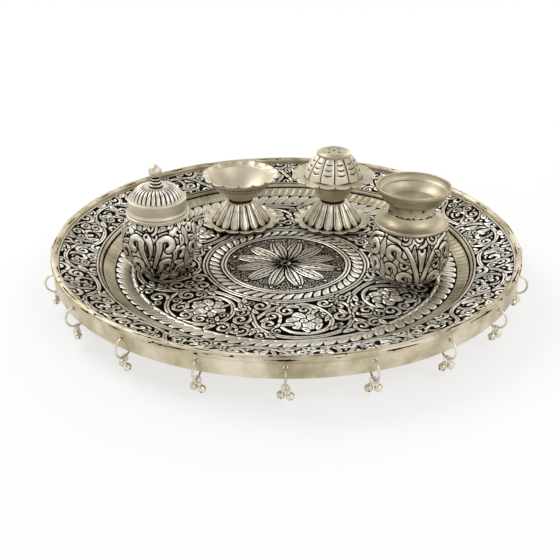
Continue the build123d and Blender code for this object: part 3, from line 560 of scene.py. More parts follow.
def skin(name, points, faces, material, relief):
    """A smooth mesh of one metal that carries its relief on the vertices."""
    mesh = bpy.data.meshes.new(name)
    mesh.from_pydata(points * MM, [], faces)
    attribute = mesh.attributes.new("relief", "FLOAT", "POINT")
    attribute.data.foreach_set("value", relief.astype(np.float32))
    mesh.shade_smooth()
    mesh.materials.append(material)
    return mesh


def spun(name, radius, height, axis, body, replaced, material, relief):
    """A closed skin from tables of radius and height; outlines that reach the axis meet there."""
    rows, around = radius.shape
    turn = steps(around)
    points = np.stack([axis[0] + radius * np.cos(turn), axis[1] + radius * np.sin(turn), height], -1)
    grid = np.arange(rows * around).reshape(rows, around)
    on_axis = [row for row in (0, rows - 1) if radius[row].max() < 1e-6]
    for row in on_axis:
        grid[row] = grid[row, 0]
    used, number = np.unique(grid, return_inverse=True)
    faces = [list(dict.fromkeys(face)) for face in quads(number.reshape(grid.shape), not on_axis)]
    faces = [face for face in faces if len(face) > 2]
    relief = np.clip(relief, -1.5, 1.5).reshape(-1)[used]
    made = placed(name, skin(name, points.reshape(-1, 3)[used], faces, material, relief))
    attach(made, body)
    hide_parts(*replaced)
    return made


# %% [markdown]
# The tray's sheet is cut into five rings, each with its top and its underside, so that every mesh stays
# light. The tops follow the frame: a flat floor, the gadroon band, the cove of the wall and the sloping
# rim. The chased drawing only ever sinks the surface, so what stands on the floor still stands on it.
# On the rim the open ground is raised again, so that only a black line is left round the work.

# %% Press the drawing into the tray
SHEET = 1.2
FLOOR_RADIUS, GADROON_RADIUS, WELL_RADIUS, RIM_RADIUS = 103.0, 112.0, 122.5, 147.0
dish_low, dish_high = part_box("thali_dish")
FLOOR_Z = dish_low.z / MM + SHEET
LIP_Z = dish_high.z / MM
LIP_RADIUS = dish_high.x / MM
GADROON_Z, WELL_Z = FLOOR_Z + 2.6, FLOOR_Z + 9.1
SINK, CROWN, CROWN_REACH = 0.55, 0.4, 2.2


def pressed(level, sink, crown):
    """How far below the sheet's highest work each point lies, for its level in the drawing."""
    edge = np.clip((level + 0.5) / 0.85, 0, 1)
    swell = 1 - (1 - np.clip(level / CROWN_REACH, 0, 1)) ** 2
    return sink * (edge * edge * (3 - 2 * edge) - 1) + crown * (swell - 1)


def lined(level, gap):
    """Raises the open ground again, so that only a line of this width is left round the work."""
    return np.maximum(level, -level - gap)


def tray_ring(name, top, around, material, sheet_step, crown=CROWN, gap=-FAR_GROUND):
    """One ring of the tray: a chased top outline, and the same outline one sheet lower, with fewer rows."""
    under = np.vstack([top[-1], top[::-1][::sheet_step][1:-1], top[0]]) - np.array([0, SHEET])
    outline = np.vstack([top, under])
    radius = np.repeat(outline[:, :1], around, 1)
    height = np.repeat(outline[:, 1:], around, 1)
    level = np.full(radius.shape, 1.0)
    chased = slice(0, len(top))
    level[chased] = lined(tray.at(radius[chased] * np.exp(1j * steps(around))), gap)
    square = outward(top)
    square[0], square[-1] = square[1], square[-2]
    shift = pressed(level[chased], SINK, crown)
    radius[chased] += shift * square[:, :1]
    height[chased] += shift * square[:, 1:]
    if top[0, 0] == 0:
        radius[0] = radius[-1] = 0
        height[0] = height[0, 0]
    made = spun(name, radius, height, (0, 0), "thali", ["thali_dish"], material, level)
    print(name, len(made.data.polygons), "faces")


STAR_EDGE, WELL_EDGE = 56.3, 124.0
SLOPE = (LIP_Z - WELL_Z) / (RIM_RADIUS - WELL_RADIUS)
rim_start = (WELL_EDGE, WELL_Z + SLOPE * (WELL_EDGE - WELL_RADIUS))
cove = arc((GADROON_RADIUS, GADROON_Z), (WELL_RADIUS, WELL_Z), 1.3, 0.7)
bend_up = arc((FLOOR_RADIUS, FLOOR_Z), (GADROON_RADIUS, GADROON_Z), -0.5, 0.45)
star_top = profile((0, FLOOR_Z), (STAR_EDGE, FLOOR_Z, 0.41))
floor_top = profile((STAR_EDGE, FLOOR_Z), (FLOOR_RADIUS, FLOOR_Z, 0.57))
gadroon_top = np.vstack([bend_up, cove[:2]])
cove_top = np.vstack([cove[1:], profile((WELL_RADIUS, WELL_Z), (*rim_start, 0.5))])
rim_top = profile(rim_start, (RIM_RADIUS, LIP_Z, 0.46), (LIP_RADIUS, LIP_Z, 0.5))
tray_ring("thali_star", star_top, 670, chased_star, 12)
tray_ring("thali_floor_scrolls", floor_top, 1080, chased_floor, 10)
tray_ring("thali_gadroons", gadroon_top, 1300, chased_floor, 4, crown=0.1)
tray_ring("thali_cove", cove_top, 1040, tarnished_silver, 4)
tray_ring("thali_rim_scrolls", rim_top, 1530, chased_rim, 9, gap=1.7)

# %% [markdown]
# The rolled edge is a wire of white metal with the sheet turned over it. Rolling leaves it slightly
# uneven, with a fine line where the sheet's edge ends and small dents that caught the black.

# %% Roll the edge
BEAD_WIRE, BEAD_PLAY, BEAD_DENTS = 2.3, 0.06, 170
bead_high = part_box("rim_bead")[1]
BEAD_RADIUS = bead_high.x / MM - BEAD_WIRE
BEAD_Z = bead_high.z / MM - BEAD_WIRE


def turn_from(turn, other):
    """The angle from another direction, between minus and plus half a turn."""
    return np.angle(np.exp(1j * (turn - other)))


def roll_edge(rows=30, around=1000):
    """The rolled wire, with broken black seams, a slow unevenness and seeded dents."""
    draw = np.random.default_rng(11)
    lean = -steps(rows)[:, None]
    turn = steps(around)
    uneven = 0.06 * np.sin(17 * turn) * np.sin(5 * turn + 1) + 0.04 * np.sin(41 * turn)
    level = np.full((rows, around), 0.9)
    for seam, swell in ((0.35, 23), (1.25, 19), (2.35, 31)):
        broken = 0.35 * np.sin(swell * turn) * np.sin(7 * turn + seam) + 0.1 * np.sin(67 * turn) - 0.08
        wander = seam + 0.12 * np.sin(13 * turn + seam)
        level = np.minimum(level, np.abs(turn_from(lean, wander)) * BEAD_WIRE - 0.1 - broken)
    for _ in range(BEAD_DENTS):
        spot, tilt, size = draw.uniform(0, TAU), draw.uniform(-0.2, 2.6), draw.uniform(0.3, 0.8)
        along = turn_from(turn, spot) * BEAD_RADIUS / draw.uniform(1.0, 3.0)
        across = turn_from(lean, tilt) * BEAD_WIRE
        level = np.minimum(level, np.hypot(along, across) - size + 0.25)
    dent = 0.25 * (1 - np.clip(level / 0.5 + 0.5, 0, 1))
    wire = BEAD_WIRE - BEAD_PLAY + np.clip(uneven, -BEAD_PLAY, BEAD_PLAY) - dent
    radius = BEAD_RADIUS + wire * np.cos(lean)
    height = BEAD_Z + wire * np.sin(lean)
    return spun("rim_rolled_edge", radius, height, (0, 0), "thali", ["rim_bead"], dull_silver, level)


print("rolled edge:", len(roll_edge().data.polygons), "faces")

# %% [markdown]
# The two pots are raised from sheet and chased all round with one growth. Stems rise from the foot of each
# repeat, some swell and wind round a dark eye like a snail's shell, drops with dark eyes curl away from
# them, and veined leaves stand between the repeats. Only the outlines are black here: wherever the ground
# is wider than a line it has been raised too, as on the rim.

# %% Turned pieces of the vessels
def turned(name, outline, node, body, material, around, level=1.0, push=0.0, share=1.0, lift=0.0):
    """A piece spun about its node's own axis, from (radius, height above the tray's floor) points."""
    low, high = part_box(node)
    axis = ((low.x + high.x) / 2 / MM, (low.y + high.y) / 2 / MM)
    square = outward(outline)
    radius = np.maximum(0, np.repeat(outline[:, :1], around, 1) + push * square[:, :1]) * share
    height = np.repeat(outline[:, 1:], around, 1) + FLOOR_Z + lift + push * square[:, 1:]
    return spun(name, radius, height, axis, body, [node], material, level + 0 * radius)


def unchased(outline, around):
    """Tables of level and push for an outline before any work: bright and nowhere pressed in."""
    return np.ones((len(outline), around)), np.zeros((len(outline), around))


# %% Motifs of the pots
SNAIL_SHARES = np.array((0.3, 0.55, 0.85, 1.0, 1.0))
POT_CELL, POT_MARGIN, POT_REPEATS, POT_ROOMS = 0.3, 2, 3, (3.6, 3.0, 2.5, 2.0)


def swelling(sheet, path, widths, first):
    """A raised stem of changing width with a fine line along its early part."""
    emboss(sheet, path, widths, outline=0.7)
    engrave(sheet, path[first:30], FINE_GROOVE)


def curled(start, eye, size):
    """A line that comes up beside its eye, passes over it and winds in."""
    turn = np.radians((205, 150, 95, 40, -15, -70))
    reach = size * np.array((1.15, 1.08, 0.98, 0.88, 0.78, 0.7))
    return through(start, *(eye + reach * np.exp(1j * turn)))


def scroll_growth(sheet, eyes, foot, hand, design):
    """One half of a repeat: veined leaves, drops and snails with dark eyes, and the stems."""
    def place(points):
        points = np.asarray(points, complex)
        return foot + (points if hand > 0 else -np.conj(points))

    for start, end, bow, width in design["leaves"]:
        path = bent(start, end, bow)
        emboss(sheet, place(path), width * LEAF_SHARES, outline=0.55)
        for lean in VEIN_LEANS:
            engrave(sheet, place(path[4:21] + 1j * (end - start) / abs(end - start) * lean * width), 0.25)
    for start, eye, turns, tail, head in design["drops"]:
        path = volute(start, eye, turns, 0.1, 1.25)
        swelling(sheet, place(path), (tail, tail * 1.3, (tail + head) / 2.2, head * 0.85, head), 4)
        engrave(eyes, place(eye + DOT), 0.42 * head)
    for start, eye, size, width in design["snails"]:
        swelling(sheet, place(curled(start, eye, size)), width * SNAIL_SHARES, 3)
        engrave(eyes, place(eye + DOT), 0.55 * size)
    for points, widths in design["stems"]:
        emboss(sheet, place(through(*points)), widths, outline=0.6)


def chase_pot(girth, tall, first_degrees, design, seed):
    """The unrolled sheets of a pot: its growth of scrolls, and the eyes punched into it at the end."""
    extent = (-POT_MARGIN, girth + POT_MARGIN, -POT_MARGIN, tall + POT_MARGIN)
    sheet, eyes = Sheet(*extent, POT_CELL, girth), Sheet(*extent, POT_CELL, girth)
    eyes.level[:] = -FAR_GROUND
    for k in range(POT_REPEATS):
        foot = girth * ((first_degrees / 360 + k / POT_REPEATS) % 1) + 0j
        for hand in (1, -1):
            scroll_growth(sheet, eyes, foot, hand, design)
    draw = np.random.default_rng(seed)
    count = int(girth * tall)
    spots = draw.uniform(0, girth, count) + 1j * draw.uniform(1.5, tall - 1.2, count)
    print("curls and buds on a pot:", fill(sheet, spots, POT_ROOMS))
    for edge in (0.0, tall):
        emboss(sheet, np.linspace(-1, girth + 1, 300) + 1j * edge, 1.6, outline=0.5)
    return sheet, eyes


# %% Draw and raise the pots
POT_WALL, POT_ROW, POT_SINK, POT_CROWN = 1.1, 0.4, 0.45, 0.4


def raise_pot(name, node, body, belly, sheets, gap, around=420):
    """A chased pot: inside from the axis up to the shoulder, then the chased outside down to the foot."""
    path = blows(through(*belly), 1.0, POT_ROW)[0]
    side = np.stack([path.real, path.imag], -1)
    shoulder, base = side[0], side[-1]
    inside = side[::-8] - (POT_WALL, 0)
    inside[:, 1] = np.maximum(inside[:, 1], POT_WALL)
    outline = np.vstack([
        line((0, POT_WALL), inside[0], 4),
        inside[:-1],
        line((shoulder[0] - POT_WALL, shoulder[1]), shoulder, 0.6),
        side[:-1],
        line(base, (0, 0), 4),
        (0, 0),
    ])
    rows = rows_between(outline, shoulder, base)
    spots = steps(around) * side[:, 0].max() + 1j * POT_ROW * np.arange(len(side) - 1, 0, -1)[:, None]
    level, push = unchased(outline, around)
    level[rows] = np.minimum(lined(sheets[0].at(spots), gap), sheets[1].at(spots))
    push[rows] = pressed(level[rows], POT_SINK, POT_CROWN)
    turned(name, outline, node, body, chased_pot, around, level, push)


# Points of the bellies are radius and height; points of the designs are along and up from a repeat's foot.
POT_BELLY = (19.6 + 37j, 23.8 + 28.5j, 25.0 + 18j, 22.6 + 6.5j, 17.0 + 0j)
pot_design = {
    "stems": [((0j, 0.2 + 5j, 0.5 + 10j), (3.4, 2.0, 1.4))],
    "snails": [
        (0.8 + 3j, 10.8 + 12j, 4.3, 4.0),
        (13.0 + 8j, 20.3 + 20.5j, 3.9, 3.6),
        (0.7 + 8j, 11.0 + 27j, 4.9, 4.5),
    ],
    "drops": [
        (1.0 + 18j, 2.9 + 33.0j, -0.12, 1.2, 4.8),
        (17.5 + 25j, 20.5 + 34j, -0.5, 1.3, 5.8),
        (26.0 + 1j, 19.5 + 7.5j, 0.5, 1.3, 5.6),
        (1.6 + 1.5j, 8.0 + 3.5j, 0.3, 1.2, 4.0),
    ],
    "leaves": [
        (26.1 + 9j, 26.1 + 23j, 0.0, 5.0),
        (26.1 + 24j, 26.1 + 39j, 0.0, 4.8),
        (5.5 + 36j, 14.0 + 37.0j, 0.2, 3.0),
    ],
}
KALASH_BELLY = (22.4 + 36j, 25.2 + 27.5j, 25.9 + 18j, 23.9 + 6.5j, 17.8 + 0j)
kalash_design = {
    "stems": [((0j, 1.4 + 8j, 4.2 + 19j, 8.5 + 29j, 15.0 + 35j, 24.0 + 37j), (3.6, 3.0, 2.8, 2.4))],
    "snails": [
        (14.0 + 6j, 20.8 + 15.5j, 3.8, 3.5),
        (2.2 + 3j, 11.0 + 9.5j, 4.4, 4.1),
        (6.5 + 21j, 19.0 + 27.0j, 4.3, 4.0),
    ],
    "drops": [
        (4.4 + 13j, 11.0 + 20.0j, -0.4, 1.5, 6.0),
        (0.02 + 17j, 0.02 + 30.5j, 0.0, 2.0, 5.4),
        (26.5 + 1j, 20.5 + 5.5j, 0.5, 1.3, 5.2),
    ],
    "leaves": [
        (27.1 + 8j, 27.1 + 21j, 0.0, 5.2),
        (27.1 + 22j, 27.1 + 36j, 0.0, 4.8),
        (2.8 + 21j, 4.8 + 34j, -0.08, 3.0),
    ],
}
for vessel, belly, tall, first_degrees, design, seed, gap in (
    ("pot", POT_BELLY, 41.5, 264, pot_design, 21, 1.0),
    ("kalash", KALASH_BELLY, 40.0, 281, kalash_design, 22, 0.8),
):
    sheets = chase_pot(TAU * belly[2].real, tall, first_degrees, design, seed)
    raise_pot(f"{vessel}_chased_body", f"{vessel}_body", vessel, belly, sheets, gap)

# %% [markdown]
# The pot's lid is spun: a plain band that fits over the neck, and a dome pressed into thirty flutes, with
# a turned finial. The flutes are convex, so the black stays in the narrow grooves between them.

# %% The collar of the kumkum pot and the band of its lid
LID_SEAT = 39.0
LID_FOOT = LID_SEAT + 0.03
turned("pot_collar", profile(
    (16.35, 46.0), (17.55, 46.0, 0.6), (17.55, LID_SEAT, 2), (19.9, LID_SEAT, 0.8),
    (20.0, 37.9, 0.2, -0.55), (19.8, 37.75, 0.1), (20.0, 37.0, 0.2, -0.5), (16.35, 37.0, 1.2),
    (16.35, 46.0, 2),
), "pot_neck", "pot", spun_silver, 240)

turned("lid_plain_band", profile(
    (13.4, 48.1), (13.4, 49.1, 0.5), (18.2, 49.1, 0.6), (18.9, 48.4, 0.15, -0.21),
    (18.75, 40.6, 1.5), (18.85, LID_FOOT, 0.2, -0.35), (17.9, LID_FOOT, 0.5), (17.9, 48.1, 2),
    (13.4, 48.1, 1.5),
), "lid_band", "pot_lid", spun_silver, 240)

# %% The lid's dome and finial
FLUTES, FLUTE_TOP, FLUTE_FOOT, FLUTE_BULGE = 30, (7.6, 56.4), (16.4, 49.1), 2.3
BALL_RADIUS, BALL_Z = 4.4, 66.32
FINIAL_GROOVES = ((2.05, 62.2), (2.35, 60.2), (3.05, 58.2), (4.5, 56.4))


def flute_dome(around=720):
    """The lid's dome: convex flutes that run from its foot to its top."""
    outline = profile(
        (1.5, 55.4), (1.5, 56.4, 0.5), (*FLUTE_TOP, 0.6), (*FLUTE_FOOT, 0.3, -FLUTE_BULGE),
        (15.4, 49.1, 0.5), (7.1, 55.4, 1.5, FLUTE_BULGE), (1.5, 55.4, 1.5),
    )
    crest = np.abs(np.sin(steps(around) * FLUTES / 2))
    level, push = unchased(outline, around)
    rows = rows_between(outline, FLUTE_TOP, FLUTE_FOOT)
    gauge = outline[rows, :1] / FLUTE_FOOT[0]
    level[rows] = (crest - 0.5) * 1.7 * gauge
    push[rows] = -gauge * (1 - crest) ** 1.3
    turned("lid_fluted_dome", outline, "lid_dome", "pot_lid", chased_rim, around, level, push)


def turn_finial(around=120):
    """The ball on its turned neck, whose beads have black in the grooves between them."""
    tilt = np.radians(np.linspace(90, -61.5, 40))[:-1]
    ball = np.stack([BALL_RADIUS * np.cos(tilt), BALL_Z + BALL_RADIUS * np.sin(tilt)], -1)
    ball[0, 0] = 0
    neck = profile(
        (2.1, 62.45), (2.0, 61.9, 0.2), (2.3, 60.4, 0.12, -0.74), (2.4, 60.0, 0.15),
        (3.0, 58.4, 0.12, -0.8), (3.1, 58.0, 0.15), (4.5, 56.6, 0.15, -0.6), (4.5, 56.4, 0.2),
        (1.45, 56.4, 0.8), (1.45, 55.4, 0.5), (0, 55.4, 0.7),
    )
    outline = np.vstack([ball, neck])
    level = to_nearest(outline, FINIAL_GROOVES) - 0.75
    turned("lid_turned_finial", outline, "lid_finial", "pot_lid", spun_silver, around, level)


flute_dome()
turn_finial()
print("lid pieces: collar, band, dome, finial")

# %% [markdown]
# The water pot's shoulder, neck and mouth are spun and left plain. A lathe leaves fine rings, and the
# solder at the foot of the neck has caught the black in spots.

# %% Shoulder, neck and mouth of the water pot
NECK_BORE, NECK_RADIUS, NECK_FOOT, NECK_TOP, NECK_SPOTS = 13.5, 14.9, 44.3, 50.8, 60
LATHE_RINGS = ((5.0, 52.1), (9.8, 52.1), (14.5, 52.1), (19.9, 57.3))
turned("kalash_plain_shoulder", profile(
    (NECK_BORE, 43.1), (NECK_BORE, NECK_FOOT, 0.5), (NECK_RADIUS, NECK_FOOT, 0.6),
    (21.4, 38.4, 0.5, 1.6), (22.4, 38.4, 0.3), (22.4, 36.0, 0.25, -1.2), (21.3, 36.0, 0.5),
    (21.3, 37.2, 0.6), (NECK_BORE, 43.1, 1.5, -1.6),
), "kalash_shoulder", "kalash", tarnished_silver, 260)


def spin_mouth(around=260):
    """Neck and mouth bowl, with fine lathe lines inside and spots of black solder at the neck's foot."""
    outline = profile(
        (0, 52.1), (14.6, 52.1, 0.6), (19.6, 57.2, 0.4, 0.6), (20.4, 57.5, 0.3),
        (22.5, 61.7, 0.4, 0.5), (23.6, 61.7, 0.15, -0.4), (20.9, 56.4, 0.4, -0.8),
        (20.6, 56.0, 0.2), (15.6, 51.1, 0.4, -0.8), (NECK_RADIUS, NECK_TOP, 0.2),
        (NECK_RADIUS, NECK_FOOT, 0.3, 0.35), (NECK_BORE, NECK_FOOT, 0.5), (NECK_BORE, 51.1, 2),
        (0, 51.1, 2),
    )
    turn = steps(around)
    solder = 0.5 + 0.55 * np.sin(9 * turn) * np.sin(4 * turn + 2) + 0.35 * np.sin(23 * turn)
    foot = to_nearest(outline, [(NECK_RADIUS, NECK_FOOT + 0.2)]) - 0.7 * solder
    under = to_nearest(outline, [(15.2, 50.9)]) - 0.5 * np.roll(solder, 60)
    level = np.minimum(np.minimum(foot, under), to_nearest(outline, LATHE_RINGS) - 0.05)
    neck = rows_between(outline, (NECK_RADIUS, NECK_TOP), (NECK_RADIUS, NECK_FOOT))
    neck = slice(neck.start + 1, neck.stop)
    draw = np.random.default_rng(51)
    for _ in range(NECK_SPOTS):
        spot, rise, size = draw.uniform(0, TAU), draw.uniform(NECK_FOOT, NECK_TOP), draw.uniform(0.2, 1.0)
        along = turn_from(turn, spot) * NECK_RADIUS / 1.8
        level[neck] = np.minimum(level[neck], np.hypot(along, outline[neck, 1:] - rise) - size + 0.2)
    turned("kalash_neck_and_mouth", outline, "kalash_mouth", "kalash", tarnished_silver, around, level)


spin_mouth()
print("water pot: shoulder, neck and mouth")

# %% [markdown]
# The lamp and the incense stand share a saucer with a scalloped edge, a foot of sixteen upright petals
# and a bowl with a scalloped brim. Scallops and petals come from one wave round the axis, which is zero
# in each notch, so the saucer, the petals and the brim stay in step with the frame.

# %% Saucers and petal feet
SCALLOPS, SCALLOP_DEPTH, SCALLOP_DROOP, SCALLOP_TRIM = 16, 2.0, 0.9, 1.3
SAUCER_FLAT, SAUCER_EDGE, SAUCER_RISE, SAUCER_WALL = 22.5, 28.6, 2.9, 0.9
PETAL_FOOT, PETAL_TOP, PETAL_HEIGHT, PETAL_BULGE, PETAL_WALL = 21.6, 10.6, 15.9, 0.3, 1.8
STEM_SEAT = SAUCER_WALL + PETAL_HEIGHT
PITCH = TAU / SCALLOPS


def from_notch(around, pitch):
    """The angle from each step around to the nearest notch."""
    return np.abs((steps(around) + pitch / 2) % pitch - pitch / 2)


def scalloped(outline, around, inner, outer, seed):
    """Shares of the radius, lifts and levels that press uneven hanging scallops beyond the inner radius."""
    trims = np.random.default_rng(seed).uniform(0, SCALLOP_TRIM, SCALLOPS)
    lobe = np.sin(from_notch(around, PITCH) * SCALLOPS / 2) ** 0.7
    trim = trims[(np.arange(around) * SCALLOPS // around) % SCALLOPS]
    weight = np.clip((outline[:, :1] - inner) / (outer - inner), 0, 1)
    share = 1 - weight * (SCALLOP_DEPTH * (1 - lobe) + trim * lobe) / outer
    lift = weight * SCALLOP_DROOP * (0.35 - lobe)
    cut = from_notch(around, PITCH) * outline[:, :1] - 0.2
    return share, lift, np.where(weight > 0.8, cut, 1.0)


def saucer(name, node, body, seed, around=480):
    """The thin base: flat inside, rising to a scalloped edge with a soft lip."""
    outline = profile(
        (0, SAUCER_WALL), (SAUCER_FLAT, SAUCER_WALL, 3), (SAUCER_EDGE - 0.3, SAUCER_RISE, 0.6, 0.3),
        (SAUCER_EDGE, SAUCER_RISE - SAUCER_WALL, 0.3, -0.3), (SAUCER_FLAT, 0, 1), (0, 0, 4),
    )
    share, lift, level = scalloped(outline, around, SAUCER_FLAT, SAUCER_EDGE, seed)
    turned(name, outline, node, body, spun_silver, around, level, share=share, lift=lift)


def petal_foot(name, node, body, around=800):
    """The foot: tongues that flare from the waist to the saucer, with a line inside each border."""
    top, foot = (PETAL_TOP, STEM_SEAT), (PETAL_FOOT, SAUCER_WALL)
    outline = profile(
        (0, STEM_SEAT), (*top, 1.5), (*foot, 0.3, -PETAL_BULGE),
        (PETAL_FOOT - 2.6, SAUCER_WALL, 0.9),
        (PETAL_TOP - 2.2, STEM_SEAT - PETAL_WALL, 1.5, PETAL_BULGE), (0, STEM_SEAT - PETAL_WALL, 3),
    )
    rows = rows_between(outline, top, foot)
    radius = outline[rows, :1]
    down = np.linspace(0, 1, len(radius))[:, None]
    rounding = 1 - np.sqrt(1 - np.clip((down - 0.76) / 0.24, 0, 1) ** 2)
    gap = 0.3 + 0.2 * down + 2.8 * rounding
    level, push = unchased(outline, around)
    petal = from_notch(around, PITCH) * radius - gap
    border = np.where(down > 0.25, np.abs(petal - 1.25) - 0.12, 1.0)
    level[rows] = np.minimum(petal, border)
    crown = (1 - np.clip(petal / 2.6, 0, 1)) ** 2
    push[rows] = -0.9 * crown - 0.9 * (petal < 0) - 0.15 * (1 - np.clip(border / 0.4, 0, 1))
    turned(name, outline, node, body, bell_silver, around, level, push)


# %% Bowls and the gored dome
STEM_RISE, STEM_RADIUS, WAIST_RADIUS, BOWL_WALL, BRIM_FLAT = 2.4, 9, 10, 1, 21.2
GORES, DOME_FOOT, DOME_TOP, DOME_BORE, DOME_RISE, DOME_BULGE = 12, 21.4, 12.0, 10.6, 15.8, 1.2
DOME_BASE, DOME_SLANT, STROKES = 36.2, 18.2, (4.6, 8.6, 12.6)
UNSTRUCK = 9.0


def bowl(name, node, body, tall, mouth, brim, rise, seed, around=480):
    """The bowl on its stem: a ticked band outside, a waist with painted shade that darkens towards the
    stem, and a scalloped brim.
    """
    z = STEM_SEAT + STEM_RISE
    top = z + tall
    flat = max(mouth + 0.4, BRIM_FLAT)
    shoulder, waist, stem = (mouth + 0.9, top - BOWL_WALL), (WAIST_RADIUS, z), (STEM_RADIUS, STEM_SEAT)
    outline = profile(
        (0, z + BOWL_WALL), (8.4, z + BOWL_WALL, 1.2), (mouth, top, 0.6, 1.0), (flat, top, 0.4),
        (brim - 0.3, top + rise, 0.6, 0.25), (brim, top + rise - BOWL_WALL, 0.3, -0.35),
        (*shoulder, 0.8), (*waist, 0.4, -0.9), (*stem, 0.3, 0.5), (0, STEM_SEAT, 2),
    )
    share, lift, level = scalloped(outline, around, flat, brim, seed)
    band = rows_between(outline, shoulder, waist)
    drop = shoulder[1] - outline[band, 1:]
    ticks = np.where(np.abs(drop - 3.4) < 1.1, (np.abs(np.sin(steps(around) * 32)) - 0.3) * 1.5, 1.0)
    edges = np.minimum(np.abs(drop - 1.7), np.abs(drop - 5.1)) - 0.15
    level[band] = np.minimum(ticks, edges)
    # The waist goes from clean metal to black towards the stem: painted shade under the bowl.
    narrow = rows_between(outline, waist, stem)
    level[narrow] = np.linspace(0.35, -0.5, narrow.stop - narrow.start)[:, None]
    turned(name, outline, node, body, satin_silver, around, level, share=share, lift=lift)


def gored_dome(name, node, body, around=720):
    """The stand's dome: wide gores, each with three curved strokes like the scales of a pine cone, and
    painted shadow along its foot.
    """
    top, foot = (DOME_TOP, DOME_BASE + DOME_RISE), (DOME_FOOT, DOME_BASE)
    outline = profile(
        (DOME_BORE, top[1]), (*top, 0.7), (*foot, 0.3, -DOME_BULGE),
        (DOME_FOOT - 1.4, DOME_BASE, 0.7), (DOME_BORE, top[1], 1.5, DOME_BULGE),
    )
    rows = rows_between(outline, top, foot)
    radius = outline[rows, :1]
    pitch = TAU / GORES
    down = np.linspace(0, 1, len(radius))[:, None] * DOME_SLANT
    gore = from_notch(around, pitch) * radius - 0.3
    level, push = unchased(outline, around)
    off_middle = (pitch / 2 - from_notch(around, pitch)) * radius
    stroke = np.full(gore.shape, UNSTRUCK)
    for drop in STROKES:
        near = np.abs(down - drop + 0.1 * off_middle**2) - 0.38 + 0.06 * off_middle
        stroke = np.minimum(stroke, np.where(off_middle < 0.62 * pitch / 2 * radius, near, UNSTRUCK))
    # A thin wavering black band along the dome's foot is painted shadow, where the dome's lower edge stands
    # over the brim.
    painted_foot_shadow = 18.0 - down + 0.35 * np.sin(7 * np.linspace(0, TAU, around))
    level[rows] = np.minimum(np.minimum(gore, stroke), painted_foot_shadow)
    push[rows] = -0.7 * (1 - np.clip(gore / 2.2, 0, 1)) ** 2 - 0.3 * (1 - np.clip(stroke / 0.8, 0, 1))
    turned(name, outline, node, body, spun_silver, around, level, push)


for vessel, body, tall, mouth, brim, rise, seed in (
    ("lamp", "lamp", 15.4, 22.4, 28.3, 2.8, 31),
    ("stand", "incense_stand", 17.0, 16.6, 30.4, 1.2, 41),
):
    saucer(f"{vessel}_saucer", f"{vessel}_base", body, seed)
    petal_foot(f"{vessel}_petals", f"{vessel}_foot", body)
    bowl(f"{vessel}_brimmed_bowl", f"{vessel}_bowl", body, tall, mouth, brim, rise, seed + 1)
gored_dome("stand_gored_dome", "stand_dome", "incense_stand")
print("lamp and stand: saucers, petals, bowls, dome")

# %% [markdown]
# The bells are ghungroos, pressed from two cups of thin sheet that meet in a seam, with a crossed mouth
# cut into the lower one. All are alike, so one mesh of two bells is made and hung from each ring in turn.

# %% One bell, and a pair on every ring
BELL_RADIUS, BELL_DROP, SEAM_WIDTH, SLIT = 2.5, 5.85, 0.22, 0.7
BELL_NECK = np.array([(0.55, -2.5), (0.95, -2.9), (0.9, -3.3), (1.15, -3.6)])
EYE_RADIUS, EYE_WIRE, EYE_DROP = 1.9, 0.4, 0.75
BELL_SPLAY, BELL_SPACING = 25.0, 1.5


def bell_grid(rows=30, around=48):
    """Points of one hanging bell: two cups and their seam, with the crossed mouth pressed in and painted
    black as the shade inside its opening.
    """
    tilt = np.linspace(0, np.pi, rows)[:, None]
    turn = steps(around)
    seam = SEAM_WIDTH * np.exp(-(((tilt - np.pi / 2) / 0.07) ** 2))
    size = BELL_RADIUS * (0.97 + 0.03 * np.cos(2 * tilt)) + seam - 0.05
    flat = size * np.sin(tilt)
    x, y = flat * np.cos(turn), flat * np.sin(turn)
    z = size * np.cos(tilt) + 0 * turn
    slit = np.where(z < -0.45, np.minimum(np.abs(x), np.abs(y)) - SLIT / 2, 1.0)
    press = 1 - 0.28 * np.clip(0.5 - slit * 2.5, 0, 1)
    points = np.stack([x * press, y * press, z * press - BELL_DROP], -1)
    # The level inside the crossed mouth turns it black: painted shade standing in for the opening of the
    # real bell.
    return points, np.where(slit < 1, slit * 2, 1.0)


def ring_grid(radius, wire, rows=28, around=10):
    """Points of a wire ring that stands in the plane x = 0."""
    turn = steps(rows)[:, None]
    lean = steps(around)
    away = radius + wire * np.cos(lean)
    return np.stack([wire * np.sin(lean) + 0 * turn, away * np.sin(turn), away * np.cos(turn)], -1)


def bell_mesh():
    """Two bells that hang from the origin and lean left and right, as one mesh."""
    ball, slit = bell_grid()
    turn = steps(16)
    wide, high = BELL_NECK[:, :1], BELL_NECK[:, 1:]
    neck = np.stack([wide * np.cos(turn), wide * np.sin(turn), high + 0 * turn], -1)
    eye = ring_grid(EYE_RADIUS, EYE_WIRE) + np.array([0, 0, -EYE_DROP])
    plain_neck, plain_eye = np.ones(neck.shape[:2]), np.ones(eye.shape[:2])
    points, levels, faces, first = [], [], [], 0
    for side in (-1, 1):
        lean = np.radians(side * BELL_SPLAY)
        tip = np.array([[1, 0, 0], [0, np.cos(lean), -np.sin(lean)], [0, np.sin(lean), np.cos(lean)]])
        for grid, level, wrap in ((ball, slit, False), (neck, plain_neck, False), (eye, plain_eye, True)):
            faces += quads(np.arange(level.size).reshape(level.shape) + first, wrap)
            points.append(grid.reshape(-1, 3) @ tip.T + np.array([side * BELL_SPACING / 2, 0, 0]))
            levels.append(level.reshape(-1))
            first += level.size
    return skin("bell_pair", np.concatenate(points), faces, bell_silver, np.concatenate(levels))


